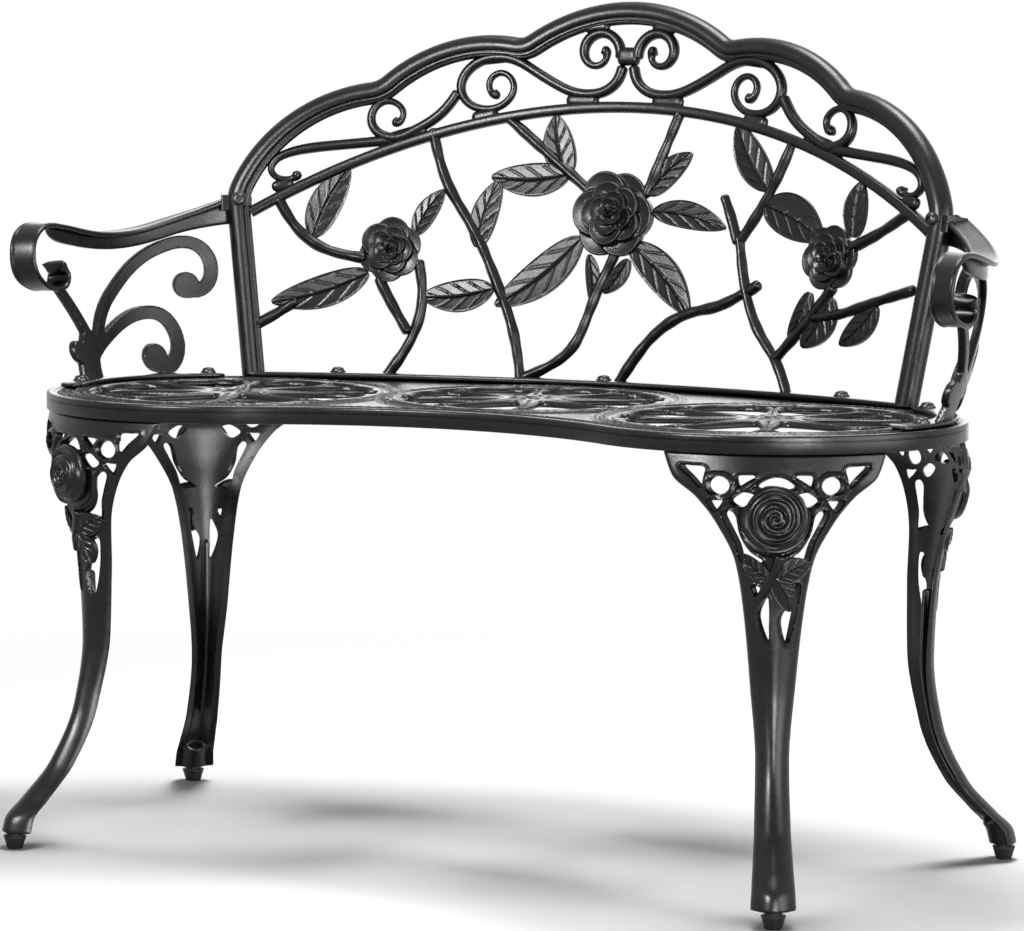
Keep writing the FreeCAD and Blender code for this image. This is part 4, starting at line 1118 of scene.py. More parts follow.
# Line of each bar, with its half-widths at the start and the end
SCROLL_BARS = ((UPPER_SCROLL, 5.5, 7.2), (LOWER_SCROLL, 6.0, 8.0), (STRUT, 5.0, 5.8), (ARM_FOOT, 12.0, 17.0))
BAR_RUNS = 24
SCROLL_FILLET = 2.5
SCROLL_EDGE = 1.3
FAR_OUTSIDE = -50.0


def swelling_bar(points, line, start_half, end_half):
    """Distance inside a bar whose half-width grows evenly along its line: the most over its short runs."""
    field = np.full(points.shape[:-1], FAR_OUTSIDE)
    path = arm_curve(line, 2 * BAR_RUNS + 1) * ARM_SCALE
    for number in range(BAR_RUNS):
        half = start_half + (end_half - start_half) * number / (BAR_RUNS - 1)
        field = np.maximum(field, half - line_distance(points, path[2 * number:2 * number + 3]))
    return field


def scroll_field(points):
    """Distance inside the scrolls: bars that swell along their lines and discs at their ends, filleted."""
    field = np.full(points.shape[:-1], FAR_OUTSIDE)
    for line, start_half, end_half in SCROLL_BARS:
        field = soft_most(field, swelling_bar(points, line, start_half, end_half), SCROLL_FILLET)
    for centre, radius in SCROLL_EYES:
        disc = radius - np.linalg.norm(points - np.array(centre) * ARM_SCALE, axis=-1)
        field = soft_most(field, disc, SCROLL_FILLET)
    return field


def arm_scroll_sheet():
    """The cut sheet with flat faces and a small round along its edges."""
    flat, tris = cut_sheet(scroll_field, arm_xs, arm_ys)
    half = ARM_WEB / 2 - edge_round(np.maximum(scroll_field(flat), 0), SCROLL_EDGE)
    drawn = flat / ARM_SCALE
    return thick_sheet(on_arm(drawn, half), on_arm(drawn, -half), tris)


ARM_FLANGE = (-22.0, 56.0)
ARM_FLANGE_RADIUS = 165.0
ARM_FLANGE_WIDTH = 22.0
ARM_FLANGE_THICKNESS = 5.0
flange_angles = np.linspace(*ARM_FLANGE, 50)
arm_flange_line = round_lobe(ARM_FLANGE_RADIUS, flange_angles, SEAT_HEIGHT + ARM_FLANGE_THICKNESS / 2)
arm_flange_section = soft_section(ARM_FLANGE_THICKNESS, ARM_FLANGE_WIDTH, 5, 5, 36)
arm_flange = carried(arm_flange_line, round_facing(flange_angles), arm_flange_section, step=4,
                     start_round=FLANGE_ROUND, end_round=FLANGE_ROUND)
arm_scrolls = arm_scroll_sheet()
for side, change in (("right", lambda part: part), ("left", flipped)):
    add_casting(f"{side}_arm_panel", change(arm_scrolls), f"{side}_arm_scrolls")
    add_casting(f"{side}_arm_foot", change(arm_flange), f"{side}_arm_flange")

# %% [markdown]
# One pattern serves all four legs: a hollow cabriole shell. A loft through sections could give its form,
# but its top is pierced all over. So the face is drawn flat as (across, up from the toe), and a function
# of that place, which follows a few rows of widths and swellings, bends it into the leg.

# %% Leg face
LEG_BOTTOM = 16.0
LEG_TOP = 417.0
LEG_HEIGHT = LEG_TOP - LEG_BOTTOM
LOBE_RADIUS = 185.0
LEG_WALL = 6.0
TOE_DEPTH = 27.0
TOE_TOP = 30.0
TOE_SPAN = 12.0
# Height above the toe, width, face beyond the lobe's radius, and how far the edges fall behind the middle
LEG_ROWS = np.array([
    (0, 41, 80.6, 16), (14, 39.5, 76.4, 16), (32, 37, 57.8, 15), (64, 33.2, 27, 14), (120, 31, -0.8, 14),
    (188, 41.3, -12, 14), (253, 54, -10, 14), (301, 70.3, -4, 14.5), (337, 105.4, 2, 17), (361, 143, 4, 20.5),
    (379, 185, 1, 25.5), (401, 202, -5, 28.5)])


def rising(knots, values, wanted):
    """A curve through rows that never swings past them: cubic spans, their slopes held by the neighbours'."""
    gaps = np.diff(knots)
    steps = np.diff(values) / gaps
    same = steps[:-1] * steps[1:] > 0
    middle = np.where(same, 2 * steps[:-1] * steps[1:] / np.where(same, steps[:-1] + steps[1:], 1), 0)
    slopes = np.concatenate([steps[:1], middle, steps[-1:]])
    span = np.clip(np.searchsorted(knots, wanted, side="right") - 1, 0, len(gaps) - 1)
    share = np.clip((wanted - knots[span]) / gaps[span], 0, 1)
    ease = smooth(share)
    return (values[span] * (1 - ease) + values[span + 1] * ease
            + gaps[span] * share * (1 - share) * (slopes[span] * (1 - share) - slopes[span + 1] * share))


def leg_row(up):
    """Half-width, face and bulge of the leg at heights above its toe, on smooth curves through its rows."""
    up = np.asarray(up, float)
    width, face, bulge = (rising(LEG_ROWS[:, 0], LEG_ROWS[:, column], up) for column in (1, 2, 3))
    return width / 2, face, bulge


def on_leg(drawn, out=0.0, inner=False):
    """Drawn (across, up) points on the leg's outer face, or on the inside of its shell."""
    across, up = drawn[..., 0], drawn[..., 1]
    half, face, bulge = leg_row(up)
    share = np.clip(across / half, -1, 1)
    if inner:
        toe = smooth(np.clip((TOE_TOP - up) / TOE_SPAN, 0, 1))
        wall = LEG_WALL + (TOE_DEPTH - LEG_WALL) * toe
        across = across * (half - LEG_WALL) / half
        face, bulge = face - wall, bulge - wall
    return np.stack([across, -(LOBE_RADIUS + face - bulge * share ** 2 + out), LEG_BOTTOM + up], axis=-1)


print("the leg's face is", LEG_HEIGHT, "mm high and up to", LEG_ROWS[:, 1].max(), "mm wide")

# %% [markdown]
# The leg's top is pierced with rings, ovals and slots round a rose. Cut by booleans, their edges would
# show facets. Each opening is a closed curve through a few drawn points, and those that come in pairs are
# drawn once.

# %% Openings of the leg
# Openings as drawn outlines: the first five come in pairs
CORNER_GAP = [(86, 389), (75, 389), (64, 388), (65, 380), (68, 371), (76, 379)]
RING_GAP = [(18, 381.5), (27, 382), (35, 381), (35, 376), (33, 372.5), (25, 377)]
EYELET = [(19, 363), (24, 366.5), (31, 366.5), (41, 360), (35, 354.5), (28, 354.5)]
UNDER_RING = [(47.5, 359), (55, 358.5), (62, 358), (55, 349)]
SIDE_SLOT = [(36, 345), (42, 350), (48, 347), (42, 334), (35, 320), (30, 304), (20, 303), (11, 304.5),
             (23, 313), (32, 328)]
CROWN_LENS = [(-16, 372.5), (-8, 378.5), (1, 380.6), (10, 378.5), (18, 372), (10, 370), (1, 369.4), (-7, 370)]
LEFT_SLIT = [(-6, 271), (-11, 265), (-15, 255), (-12, 243), (-5, 231), (-4.6, 245), (-4.6, 260)]
RIGHT_SLIT = [(16, 280), (23, 282), (21.5, 266), (18, 248), (13, 229), (9, 235), (6.5, 250), (10, 258.5),
              (15.5, 262)]
STEM_GAP = [(-20, 281), (-13, 279.5), (-17, 272.5)]
PAIRED_OPENINGS = [closed_curve(line) for line in (CORNER_GAP, RING_GAP, EYELET, UNDER_RING, SIDE_SLOT)]
SINGLE_OPENINGS = [closed_curve(line) for line in (CROWN_LENS, LEFT_SLIT, RIGHT_SLIT, STEM_GAP)]
RING_CENTRE = np.array([52, 372.5])
RING_HOLE = np.array([10.4, 8.2])
RING_BAND = 3.0


def folded_over(points):
    """Drawn points brought to the right of the leg's midline, for openings that come in pairs."""
    return np.stack([np.abs(points[..., 0]), points[..., 1]], axis=-1)


def ring_field(folded):
    """Distance outside a ring's oval hole: the oval's own measure, scaled back to millimetres."""
    return (np.linalg.norm((folded - RING_CENTRE) / RING_HOLE, axis=-1) - 1) * RING_HOLE.mean()


def opening_field(points):
    """Distance outside the leg's openings."""
    folded = folded_over(points)
    field = ring_field(folded)
    for outline in PAIRED_OPENINGS:
        field = np.minimum(field, outside_of(folded, outline))
    for outline in SINGLE_OPENINGS:
        field = np.minimum(field, outside_of(points, outline))
    return field


print("the leg has", 2 + 2 * len(PAIRED_OPENINGS) + len(SINGLE_OPENINGS), "openings")

# %% [markdown]
# The distances to the openings also shape the face: a round band about each ring, a fine bead along every
# opening and a cup for the rose. A displacement modifier could raise them from a painted map. Worked out
# from the distances, the relief follows the openings when they change.

# %% Pierced shell of the leg
BAND_HEIGHT = 2.8
LEG_EDGE = 2.5
RIM_BEAD_HEIGHT = 1.3
RIM_BEAD_INSET = 1.5
RIM_BEAD_HALF = 0.9
ROSE_UP = 345.0
CUP_RADIUS = 34.5
CUP_LIP_HEIGHT = 3.0
CUP_LIP_HALF = 1.6
CUP_STEP = 1.2
LEG_STEP = 1.25
leg_xs = np.arange(-103.1, 104.4, LEG_STEP)
leg_ys = np.arange(-1.5, 404, LEG_STEP)


def leg_field(points):
    """Distance inside the leg's drawn face, with its openings left out."""
    half, _, _ = leg_row(points[..., 1])
    ends = np.minimum(points[..., 1], LEG_HEIGHT - points[..., 1])
    return np.minimum(np.minimum(half - np.abs(points[..., 0]), ends), opening_field(points))


def leg_relief(points):
    """Height of the face: round bands about the ring holes, a bead along each opening, a cup for the rose."""
    band = np.clip(1 - ((ring_field(folded_over(points)) - RING_BAND) / RING_BAND) ** 2, 0, 1)
    bead = bell(opening_field(points) - RIM_BEAD_INSET, RIM_BEAD_HALF)
    cup = np.linalg.norm(points - np.array([0, ROSE_UP]), axis=-1)
    lip = bell(cup - CUP_RADIUS, CUP_LIP_HALF)
    floor = np.clip((CUP_RADIUS - cup) / 2, 0, 1)
    return BAND_HEIGHT * np.sqrt(band) + RIM_BEAD_HEIGHT * bead + CUP_LIP_HEIGHT * lip + CUP_STEP * floor


def leg_shell():
    """The leg's pierced shell, with an edge that is rounded outside."""
    flat, tris = cut_sheet(leg_field, leg_xs, leg_ys)
    out = leg_relief(flat) - edge_round(np.maximum(leg_field(flat), 0), LEG_EDGE)
    return thick_sheet(on_leg(flat, out), on_leg(flat, inner=True), tris)


shell = leg_shell()
print("leg shell", len(shell[0]), "points")

# %% [markdown]
# On the leg a rose is rolled up tight, over three leaves and a short stem. At this size petals would be
# lost. A low dome with a lip along a spiral, broken up by a slow wave, gives the look of the roll in one
# surface.

# %% Rose, leaves and stem of the leg
ROSE_RADIUS = 30.0
ROSE_START = 1.9
ROSE_LIFT = 2.0
ROLL_PITCH = 0.25
ROLL_HEIGHT = 0.12
ROLL_LOBE = 0.05
ROLL_DOME = 0.30
ROLL_RIM = 0.05
ROLL_FADE = 0.05
ROLL_UNDER = ((0.99, -0.05), (0.8, -0.10), (0.4, -0.12))
LEG_FACING = np.array([0.0, -1.0, 0.0])
STEM_FULL = 1.1
STEM_TAPER = 0.5
# Millimetres for each radian, and height
STEM_WAVE = (4.0, 0.05)
LEG_LEAVES = (((-4, 288), (-29, 311), 17), ((3, 287), (33, 303), 23), ((0, 290), (15, 258), 21))
LEG_STEM = [(6, 311), (-1, 294), (-9, 279), (-14, 268)]
LEAF_LIFT = 1.5


def rolled_rose(start):
    """A rose rolled up tight, of radius one about the Z axis, with a lip on every turn of its roll.

    Height: a low dome that falls with the square of the radius, plus a round lip along a spiral, which a
    slow wave round the flower breaks into petals. The outline has five shallow lobes.
    """
    turn = round_steps(ROSE_COLUMNS)
    reach = 1 - ROLL_LOBE * np.abs(np.sin(2.5 * (turn - start)))
    share = np.linspace(0.012, 1, ROSE_ROWS)
    flat = share[:, None, None] * reach[:, None] * round_points(1, turn)
    out = np.linalg.norm(flat, axis=-1)
    phase = (out / ROLL_PITCH - (turn - start) / math.tau) % 1.0
    break_up = 0.75 + 0.25 * np.cos(3 * turn + 14 * out)
    lip = ROLL_HEIGHT * break_up * (0.5 - 0.5 * np.cos(math.tau * phase)) ** 1.5
    lip = lip * np.clip((1 - share[:, None]) / ROLL_FADE, 0, 1)
    return rose_skin(flat, ROLL_RIM + ROLL_DOME * (1 - out ** 2) + lip, ROLL_UNDER)


def tapered(share, distance, length):
    """A stem's scale: full below the flower, about half as thick at its foot, with a slight wave."""
    return STEM_FULL - STEM_TAPER * share + STEM_WAVE[1] * np.sin(distance / STEM_WAVE[0])


def leg_ornament():
    """The rose in its cup, three leaves and a stem on the leg's face."""
    centre = on_leg(np.array([0, ROSE_UP]), ROSE_LIFT)
    axes = np.array([[1, 0, 0], [0, 0, 1], [0, -1, 0]])
    flower = moved(rolled_rose(ROSE_START), lambda points: centre + ROSE_RADIUS * points @ axes)
    blades = [leaf(base, tip, width, lambda drawn, out: on_leg(drawn, out + LEAF_LIFT), bow=0.08)
              for base, tip, width in LEG_LEAVES]
    stem = carried(on_leg(spline(LEG_STEM), 1.0), LEG_FACING, soft_section(10, 10), step=2, start_round=3,
                   end_round=3, widen=tapered)
    return [flower, stem] + blades


ornament = leg_ornament()
print("leg ornament", len(ornament), "surfaces")

# %% [markdown]
# Behind the face a rib stiffens the shaft, and a plate across the top is bolted to the seat. Both are
# guessed from castings of this kind, so they stay plain. The finished leg is then turned to its four
# places.

# %% Plate and rib of the leg, and the four legs
PLATE_REACH = -50.0
PLATE_THICKNESS = 6.0
RIB_RANGE = (64, 250)
RIB_DEPTH = 9.0
RIB_INSET = 2.5
plate_xs = np.arange(-104, 105, 3.0)
plate_ys = np.arange(-54, 8, 2.0)
FRONT_FACING = -64.0
REAR_FACING = 49.3
LEG_PLACES = (("front_right", 1, FRONT_FACING), ("rear_right", 1, REAR_FACING),
              ("rear_left", -1, REAR_FACING), ("front_left", -1, FRONT_FACING))


def plate_field(points):
    """Distance inside the plate in plan: behind the face, in front of its rear edge and between the sides."""
    half, face, bulge = leg_row(LEG_HEIGHT)
    front = face - LEG_WALL / 2 - bulge * (points[..., 0] / half) ** 2 - points[..., 1]
    sides = half - LEG_WALL / 2 - np.abs(points[..., 0])
    return np.minimum(np.minimum(front, points[..., 1] - PLATE_REACH), sides)


def leg_plate():
    """The plate across the leg's top, cut in plan."""
    flat, tris = cut_sheet(plate_field, plate_xs, plate_ys)
    place = np.stack([flat[:, 0], -(LOBE_RADIUS + flat[:, 1]), np.full(len(flat), LEG_TOP)], axis=-1)
    return thick_sheet(place, place - np.array([0, 0, PLATE_THICKNESS]), tris)


def leg_rib():
    """A narrow bar down the inside of the face."""
    heights = np.linspace(*RIB_RANGE, 30)
    line = on_leg(np.stack([np.zeros_like(heights), heights], axis=-1), -LEG_WALL - RIB_INSET)
    return carried(line, LEG_FACING, soft_section(4, RIB_DEPTH, 4, 4, 16), step=5, start_round=4, end_round=4)


def round_leg(part, side, facing):
    """A shape drawn on the leg pattern, turned to a leg's facing about its lobe's centre."""
    turn = math.radians(side * (facing + 90))
    axes = np.array([[math.cos(turn), math.sin(turn), 0], [-math.sin(turn), math.cos(turn), 0], [0, 0, 1]])
    return moved(part, lambda points: points @ axes + np.array([side * LOBE_OFFSET, 0, 0]))


leg = joined([shell, leg_plate(), leg_rib()] + ornament)
for name, side, facing in LEG_PLACES:
    add_casting(f"{name}_cabriole_leg", round_leg(leg, side, facing), f"{name}_leg")

# %% [markdown]
# The seat is a crescent with two round ends. Its rim is a wall with a stepped bead at its upper edge.
# Solidify and bevel modifiers would give a plain wall. A drawn section carried round the outline gives
# every step of it. The outline is four arcs, and the radii of the front and the rear follow from where
# they touch the ends.

# %% Seat rim
FRONT_REACH = 100.0
FRONT_RADIUS = (LOBE_OFFSET ** 2 + FRONT_REACH ** 2 - LOBE_RADIUS ** 2) / (2 * (LOBE_RADIUS - FRONT_REACH))
REAR_RADIUS = (LOBE_OFFSET ** 2 + REAR_REACH ** 2 - LOBE_RADIUS ** 2) / (2 * (REAR_REACH - LOBE_RADIUS))


def arc_points(centre, radius, first, last, count):
    """Points on an arc about a centre, between two angles in radians."""
    return np.array(centre) + round_points(radius, np.linspace(first, last, count))


def seat_edge():
    """The seat's outline, anticlockwise from the front's left end: front, right end, rear and left end."""
    front_centre = (0.0, -FRONT_REACH - FRONT_RADIUS)
    rear_centre = (0.0, REAR_REACH - REAR_RADIUS)
    front_turn = math.atan2(-front_centre[1], LOBE_OFFSET)
    rear_turn = math.atan2(-rear_centre[1], LOBE_OFFSET)
    runs = [arc_points(front_centre, FRONT_RADIUS, math.pi - front_turn, front_turn, 60),
            arc_points((LOBE_OFFSET, 0), LOBE_RADIUS, front_turn - math.pi, rear_turn, 90),
            arc_points(rear_centre, REAR_RADIUS, rear_turn, math.pi - rear_turn, 60),
            arc_points((-LOBE_OFFSET, 0), LOBE_RADIUS, math.pi - rear_turn, math.tau - front_turn, 90)]
    return np.concatenate([run[:-1] for run in runs])


# The rim's section: distance out from the edge, and height above the seat's top
RIM_SECTION = np.array([
    (-6, -16.4), (-5.2, -17), (-1, -17), (-0.3, -16.7), (0, -16), (0, -6.4), (-0.7, -5.9), (-0.7, -5.3),
    (0, -4.8), (0, -2.2), (-0.2, -1.1), (-0.8, -0.3), (-1.8, 0), (-5.4, 0), (-6.4, -0.3), (-7, -1),
    (-7.6, -1.5), (-11, -1.7), (-11.4, -2.2), (-11.4, -6.6), (-6.6, -7), (-6, -7.6)])
edge_line = seat_edge()
edge_path = np.concatenate([edge_line, np.full((len(edge_line), 1), SEAT_HEIGHT)], axis=1)
rim = carried(edge_path, [0, 0, 1], RIM_SECTION, step=5, loop=True)
print("seat rim", round(lengths_along(edge_path)[-1]), "mm round")

# %% [markdown]
# Inside the rim a flat web carries three medallions, each a ring of eight rounded petal loops. Bent bars
# would have to be fitted at every crossing. As the pattern repeats, each place is turned into the sector
# of one petal and its distance taken there, so one petal and one gap draw the whole ring.

# %% Pattern of a medallion
PETALS = 8
PETAL_PITCH = math.tau / PETALS
PETAL_POINT = 0.2
GAP_START = 0.8
GAP_HALF = 0.36
HUB_RADIUS = 26.0
LOOP_BAR = 10.0


def petal_outline(outer, count=36):
    """A petal along +X: an ellipse that widens from the hub to the ring."""
    tip, end = HUB_RADIUS + LOOP_BAR, outer - LOOP_BAR
    half = 2 * ((tip + end) / 2 * math.tan(PETAL_PITCH / 2) - LOOP_BAR / 2) / (1 + PETAL_POINT)
    turn = round_steps(count)
    along = (1 - np.cos(turn)) / 2
    wide = PETAL_POINT + (1 - PETAL_POINT) * along
    return np.stack([tip + (end - tip) * along, half * wide * np.sin(turn)], axis=-1)


def from_petal(points):
    """Radius of each point, and its angle from the middle line of the nearest petal."""
    angle = np.arctan2(points[..., 1], points[..., 0])
    return np.linalg.norm(points, axis=-1), (angle + PETAL_PITCH / 2) % PETAL_PITCH - PETAL_PITCH / 2


def medallion_field(points, outer):
    """Distance inside a medallion: within its ring, outside its petals and its three-cornered gaps."""
    radius, angle = from_petal(points)
    folded = round_points(radius, np.abs(angle))
    corners = ((outer * GAP_START, 0.0), (outer - LOOP_BAR, -GAP_HALF), (outer - LOOP_BAR, GAP_HALF))
    gap = [round_points(reach, PETAL_PITCH / 2 * (1 + share)) for reach, share in corners]
    field = np.minimum(outer - radius, outside_of(folded, petal_outline(outer)))
    return np.minimum(field, outside_of(folded, closed_curve(gap)))


print("a petal of a ring of radius 150 is", round(float(np.ptp(petal_outline(150)[:, 0]))), "mm long")

# %% [markdown]
# Each medallion is a sheet cut along that pattern. Its bars are rounded above and below, grooves part the
# loops, and a small flower is raised on the hub. All of these are changes of height on one sheet, where
# separate rings and petals would have to be joined.

# %% Medallions of the seat
WEB_BOTTOM = 7.0
# Name, centre and outer radius
MEDALLIONS = (("right", (LOBE_OFFSET, 0.0), 150.0), ("middle", (0.0, 79.0), 138.0),
              ("left", (-LOBE_OFFSET, 0.0), 150.0))
LOOP_EDGE = 4.6
UNDER_EDGE = 0.4
GROOVE_DEPTH = 2.2
GROOVE_HALF = 1.5
GROOVE_FADE = 6.0
BUTTON_RADIUS = 9.0
BUTTON_HEIGHT = 2.4
LOBE_PLACE = 18.0
LOBE_HALF = 5.0
LOBE_HEIGHT = 1.8
MEDALLION_STEP = 1.6
MEDALLION_MARGIN = 3.0


def loop_grooves(points, outer):
    """Depth of the grooves that part neighbouring loops, along the lines halfway between the petals."""
    radius, angle = from_petal(points)
    beside = radius * np.sin(PETAL_PITCH / 2 - np.abs(angle))
    inward = np.clip((radius - HUB_RADIUS) / GROOVE_FADE, 0, 1)
    outward = np.clip((outer - 2 * LOOP_BAR - radius) / GROOVE_FADE, 0, 1)
    return GROOVE_DEPTH * (inward * outward) * bell(beside, GROOVE_HALF)


def hub_flower(points):
    """Height of the flower on a hub: a round button, and eight lobes of a cosine in a ring about it."""
    radius = np.linalg.norm(points, axis=-1)
    lobes = 0.5 + 0.5 * np.cos(PETALS * np.arctan2(points[..., 1], points[..., 0]))
    button = BUTTON_HEIGHT * np.sqrt(np.clip(1 - (radius / BUTTON_RADIUS) ** 2, 0, 1))
    return button + LOBE_HEIGHT * lobes * bell(radius - LOBE_PLACE, LOBE_HALF)


def medallion(centre, outer):
    """A medallion's sheet: every bar rounded above and below, with the flower raised on its hub."""
    places = np.arange(-outer - MEDALLION_MARGIN, outer + MEDALLION_MARGIN, MEDALLION_STEP)
    flat, tris = cut_sheet(lambda points: medallion_field(points, outer), places, places)
    edge = edge_round(np.maximum(medallion_field(flat, outer), 0), LOOP_EDGE)
    top = SEAT_HEIGHT - edge + hub_flower(flat) - loop_grooves(flat, outer)
    bottom = SEAT_HEIGHT - WEB_BOTTOM + UNDER_EDGE * edge
    place = flat + np.array(centre)
    return thick_sheet(np.column_stack([place, top]), np.column_stack([place, bottom]), tris)


medallions = [medallion(centre, outer) for _, centre, outer in MEDALLIONS]
print("medallions", [len(part[2]) for part in medallions], "triangles")

# %% [markdown]
# The web fills the rest of the crescent, with raised beads round the medallions and inside the rim. It
# laps under both, as one casting has no seam there. Round bosses below it meet the legs' plates and take
# the bolts.

# %% Web of the seat, and the bosses for the legs
WEB_TOP = 1.7
WEB_STEP = 2.2
WEB_LAP = 4.0
WEB_EDGE = 6.5
BEAD_HEIGHT = 2.6
WEB_BEAD_HALF = 2.2
RIM_BEAD_PLACE = 15.0
# Beads round a medallion: distance from its ring, and share of the height
RING_BEADS = ((6.0, 1.0), (14.0, 0.7))
BOSS_RADIUS = 8.0
BOSS_INSET = 26.0
BOSS_SPREAD = 18.0
BOSS_LAP = 0.5


def beyond_ring(points, centre, outer):
    """Distance outside a medallion's ring."""
    return np.linalg.norm(points - np.array(centre), axis=-1) - outer


def web_beads(points):
    """Height of the beads on the web: two raised rings round every medallion and one inside the rim."""
    height = bell(-outside_of(points, edge_line) - RIM_BEAD_PLACE, WEB_BEAD_HALF)
    for _, centre, outer in MEDALLIONS:
        for place, share in RING_BEADS:
            bead = share * bell(beyond_ring(points, centre, outer) - place, WEB_BEAD_HALF)
            height = np.maximum(height, bead)
    return BEAD_HEIGHT * height


def web_field(points):
    """Distance inside the flat web: within the rim and outside the medallions, with a lap under both."""
    field = -outside_of(points, edge_line) - WEB_EDGE
    for _, centre, outer in MEDALLIONS:
        field = np.minimum(field, beyond_ring(points, centre, outer) + WEB_LAP)
    return field


def boss(place):
    """A round boss between the leg's plate and the seat's web."""
    heights = np.linspace(LEG_TOP, SEAT_HEIGHT - WEB_BOTTOM + BOSS_LAP, 4)
    line = np.column_stack([np.tile(place, (4, 1)), heights])
    return carried(line, [0, 1, 0], soft_section(2 * BOSS_RADIUS, 2 * BOSS_RADIUS, 2, 2, 28), step=3)


web_xs = np.arange(-LOBE_OFFSET - LOBE_RADIUS, LOBE_OFFSET + LOBE_RADIUS + WEB_STEP, WEB_STEP)
web_ys = np.arange(-LOBE_RADIUS, REAR_REACH + WEB_STEP, WEB_STEP)
web_flat, web_tris = cut_sheet(web_field, web_xs, web_ys)
web_level = np.full(len(web_flat), SEAT_HEIGHT)
web = thick_sheet(np.column_stack([web_flat, web_level - WEB_TOP + web_beads(web_flat)]),
                  np.column_stack([web_flat, web_level - WEB_BOTTOM]), web_tris)
boss_turns = np.radians([-BOSS_SPREAD, BOSS_SPREAD])
boss_reach = LOBE_RADIUS - BOSS_INSET
boss_places = np.stack([boss_reach * np.sin(boss_turns), -boss_reach * np.cos(boss_turns)], axis=-1)
bosses = [round_leg(boss(place), side, facing) for _, side, facing in LEG_PLACES for place in boss_places]
add_casting("seat_rim_and_web", joined([rim, web] + bosses), "seat_casting")
for (name, _, _), part in zip(MEDALLIONS, medallions):
    add_casting(f"seat_medallion_{name}", part)

# %% [markdown]
# Under each toe is a moulded plug with eight soft flats, round a threaded stud that screws up into the
# toe, so that the bench can be levelled. Both could be cylinders with modifiers. Rings of points about one
# axis give the flats by a change of radius, and the thread by a wave that climbs one pitch in each turn.
# Plug and stud move together on the foot's own slide.

# %% Feet
FOOT_REACH = 68.0
STUD_RADIUS = 4.0
STUD_CLEARANCE = 0.05
STUD_RANGE = (4.2, 26.8)
THREAD_PITCH = 1.25
THREAD_DEPTH = 0.65
THREAD_STEPS = 8


def flats(turn, sides):
    """Radius of an even polygon about its middle as a share of its corners' radius."""
    pitch = math.tau / sides
    return math.cos(pitch / 2) / np.cos((turn + pitch / 2) % pitch - pitch / 2)


def upright_rings(radius, turn, height):
    """Rings about the Z axis from a radius for each row and angle, and a height for each row."""
    rows = np.broadcast_to(height[:, None, None], radius.shape + (1,))
    return np.concatenate([round_points(radius, turn), rows], axis=-1)


def turned(rows, sides, count=64):
    """A turned form about the Z axis from rows (radius, height, how flat-sided it is from 0 to 1)."""
    radius, height, flat = np.array(rows, float).T
    turn = round_steps(count)
    share = 1 - flat[:, None] * (1 - flats(turn + math.pi / sides, sides))
    return tube(upright_rings(radius[:, None] * share, turn, height))


def threaded_stud():
    """A threaded rod: its radius falls by a triangle wave of turn and height, one pitch for each turn."""
    turn = round_steps(36)
    height = np.arange(*STUD_RANGE, THREAD_PITCH / THREAD_STEPS)
    phase = (height[:, None] / THREAD_PITCH - turn / math.tau) % 1.0
    radius = STUD_RADIUS - STUD_CLEARANCE - THREAD_DEPTH * np.abs(2 * phase - 1)
    return tube(upright_rings(radius, turn, height))


def under_toe(part):
    """A turned form brought from the Z axis to its place under the leg pattern's toe."""
    return moved(part, lambda points: points + np.array([0.0, -(LOBE_RADIUS + FOOT_REACH), 0.0]))


PLUG_ROWS = ((7.0, 0, 0.6), (7.7, 0.3, 0.7), (8.1, 1.2, 0.8), (10.9, 10.6, 0.9), (11.5, 12.0, 0.8),
             (11.3, 12.7, 0.7), (10.4, 13.0, 0.5), (7.9, 13.0, 0), (7.9, 15.4, 0), (7.5, 15.7, 0))
plug = under_toe(turned(PLUG_ROWS, 8))
stud = under_toe(threaded_stud())
for name, side, facing in LEG_PLACES:
    for label, shape, material, slot in (("glide", plug, plug_plastic, "foot_plug"),
                                         ("stud", stud, zinc, "stud_steel")):
        add_piece(f"{name}_foot_{label}", round_leg(shape, side, facing), material,
                  f"{name}_foot", [f"{name}_{label}"])

# %% [markdown]
# The castings are bolted together: three bolts through the back's flange, two through each arm's, one
# through each post, and two up into the seat from each leg. Heads are low domes with a hexagon socket, on
# plain washers, with nuts on the hidden side. A head or nut with its washer is one turned form, so each is
# made once and set down wherever it is wanted.

# %% Fasteners
BOLT_ROWS = ((8.0, 0, 0), (8.0, 1.1, 0), (7.7, 1.4, 0), (6.6, 1.4, 0), (6.5, 2.5, 0), (5.9, 3.7, 0),
             (4.8, 4.6, 0), (3.4, 5.0, 0), (3.1, 5.0, 1), (3.0, 3.0, 1))
NUT_ROWS = ((8.0, 0, 0), (8.0, 1.1, 0), (7.7, 1.4, 0), (6.3, 1.4, 0), (6.9, 1.8, 1), (6.9, 6.2, 1),
            (6.1, 6.7, 0), (4.0, 6.7, 0), (3.9, 8.2, 0), (3.4, 8.6, 0))
bolt_head = turned(BOLT_ROWS, 6, 48)
nut = turned(NUT_ROWS, 6, 48)
FLANGE_BOLTS = (-281.5, 0.0, 281.5)
ARM_BOLTS = (-9.0, 50.0)
POST_BOLT_SINK = 1.2
UNDER_WEB = SEAT_HEIGHT - WEB_BOTTOM


def aimed(part, place, axis):
    """A turned form set down at a place, with its Z axis along another direction."""
    axis = unit(np.asarray(axis, float))
    side = unit(np.cross(axis, [0.3, 1.0, 0.2]))
    axes = np.stack([side, np.cross(axis, side), axis])
    return moved(part, lambda points: np.asarray(place) + points @ axes)


def through_seat(place, top):
    """A head on top of a flange and a nut under the seat's web."""
    place = np.asarray(place, float)
    return [aimed(bolt_head, (*place[:2], top), (0, 0, 1)), aimed(nut, (*place[:2], UNDER_WEB), (0, 0, -1))]


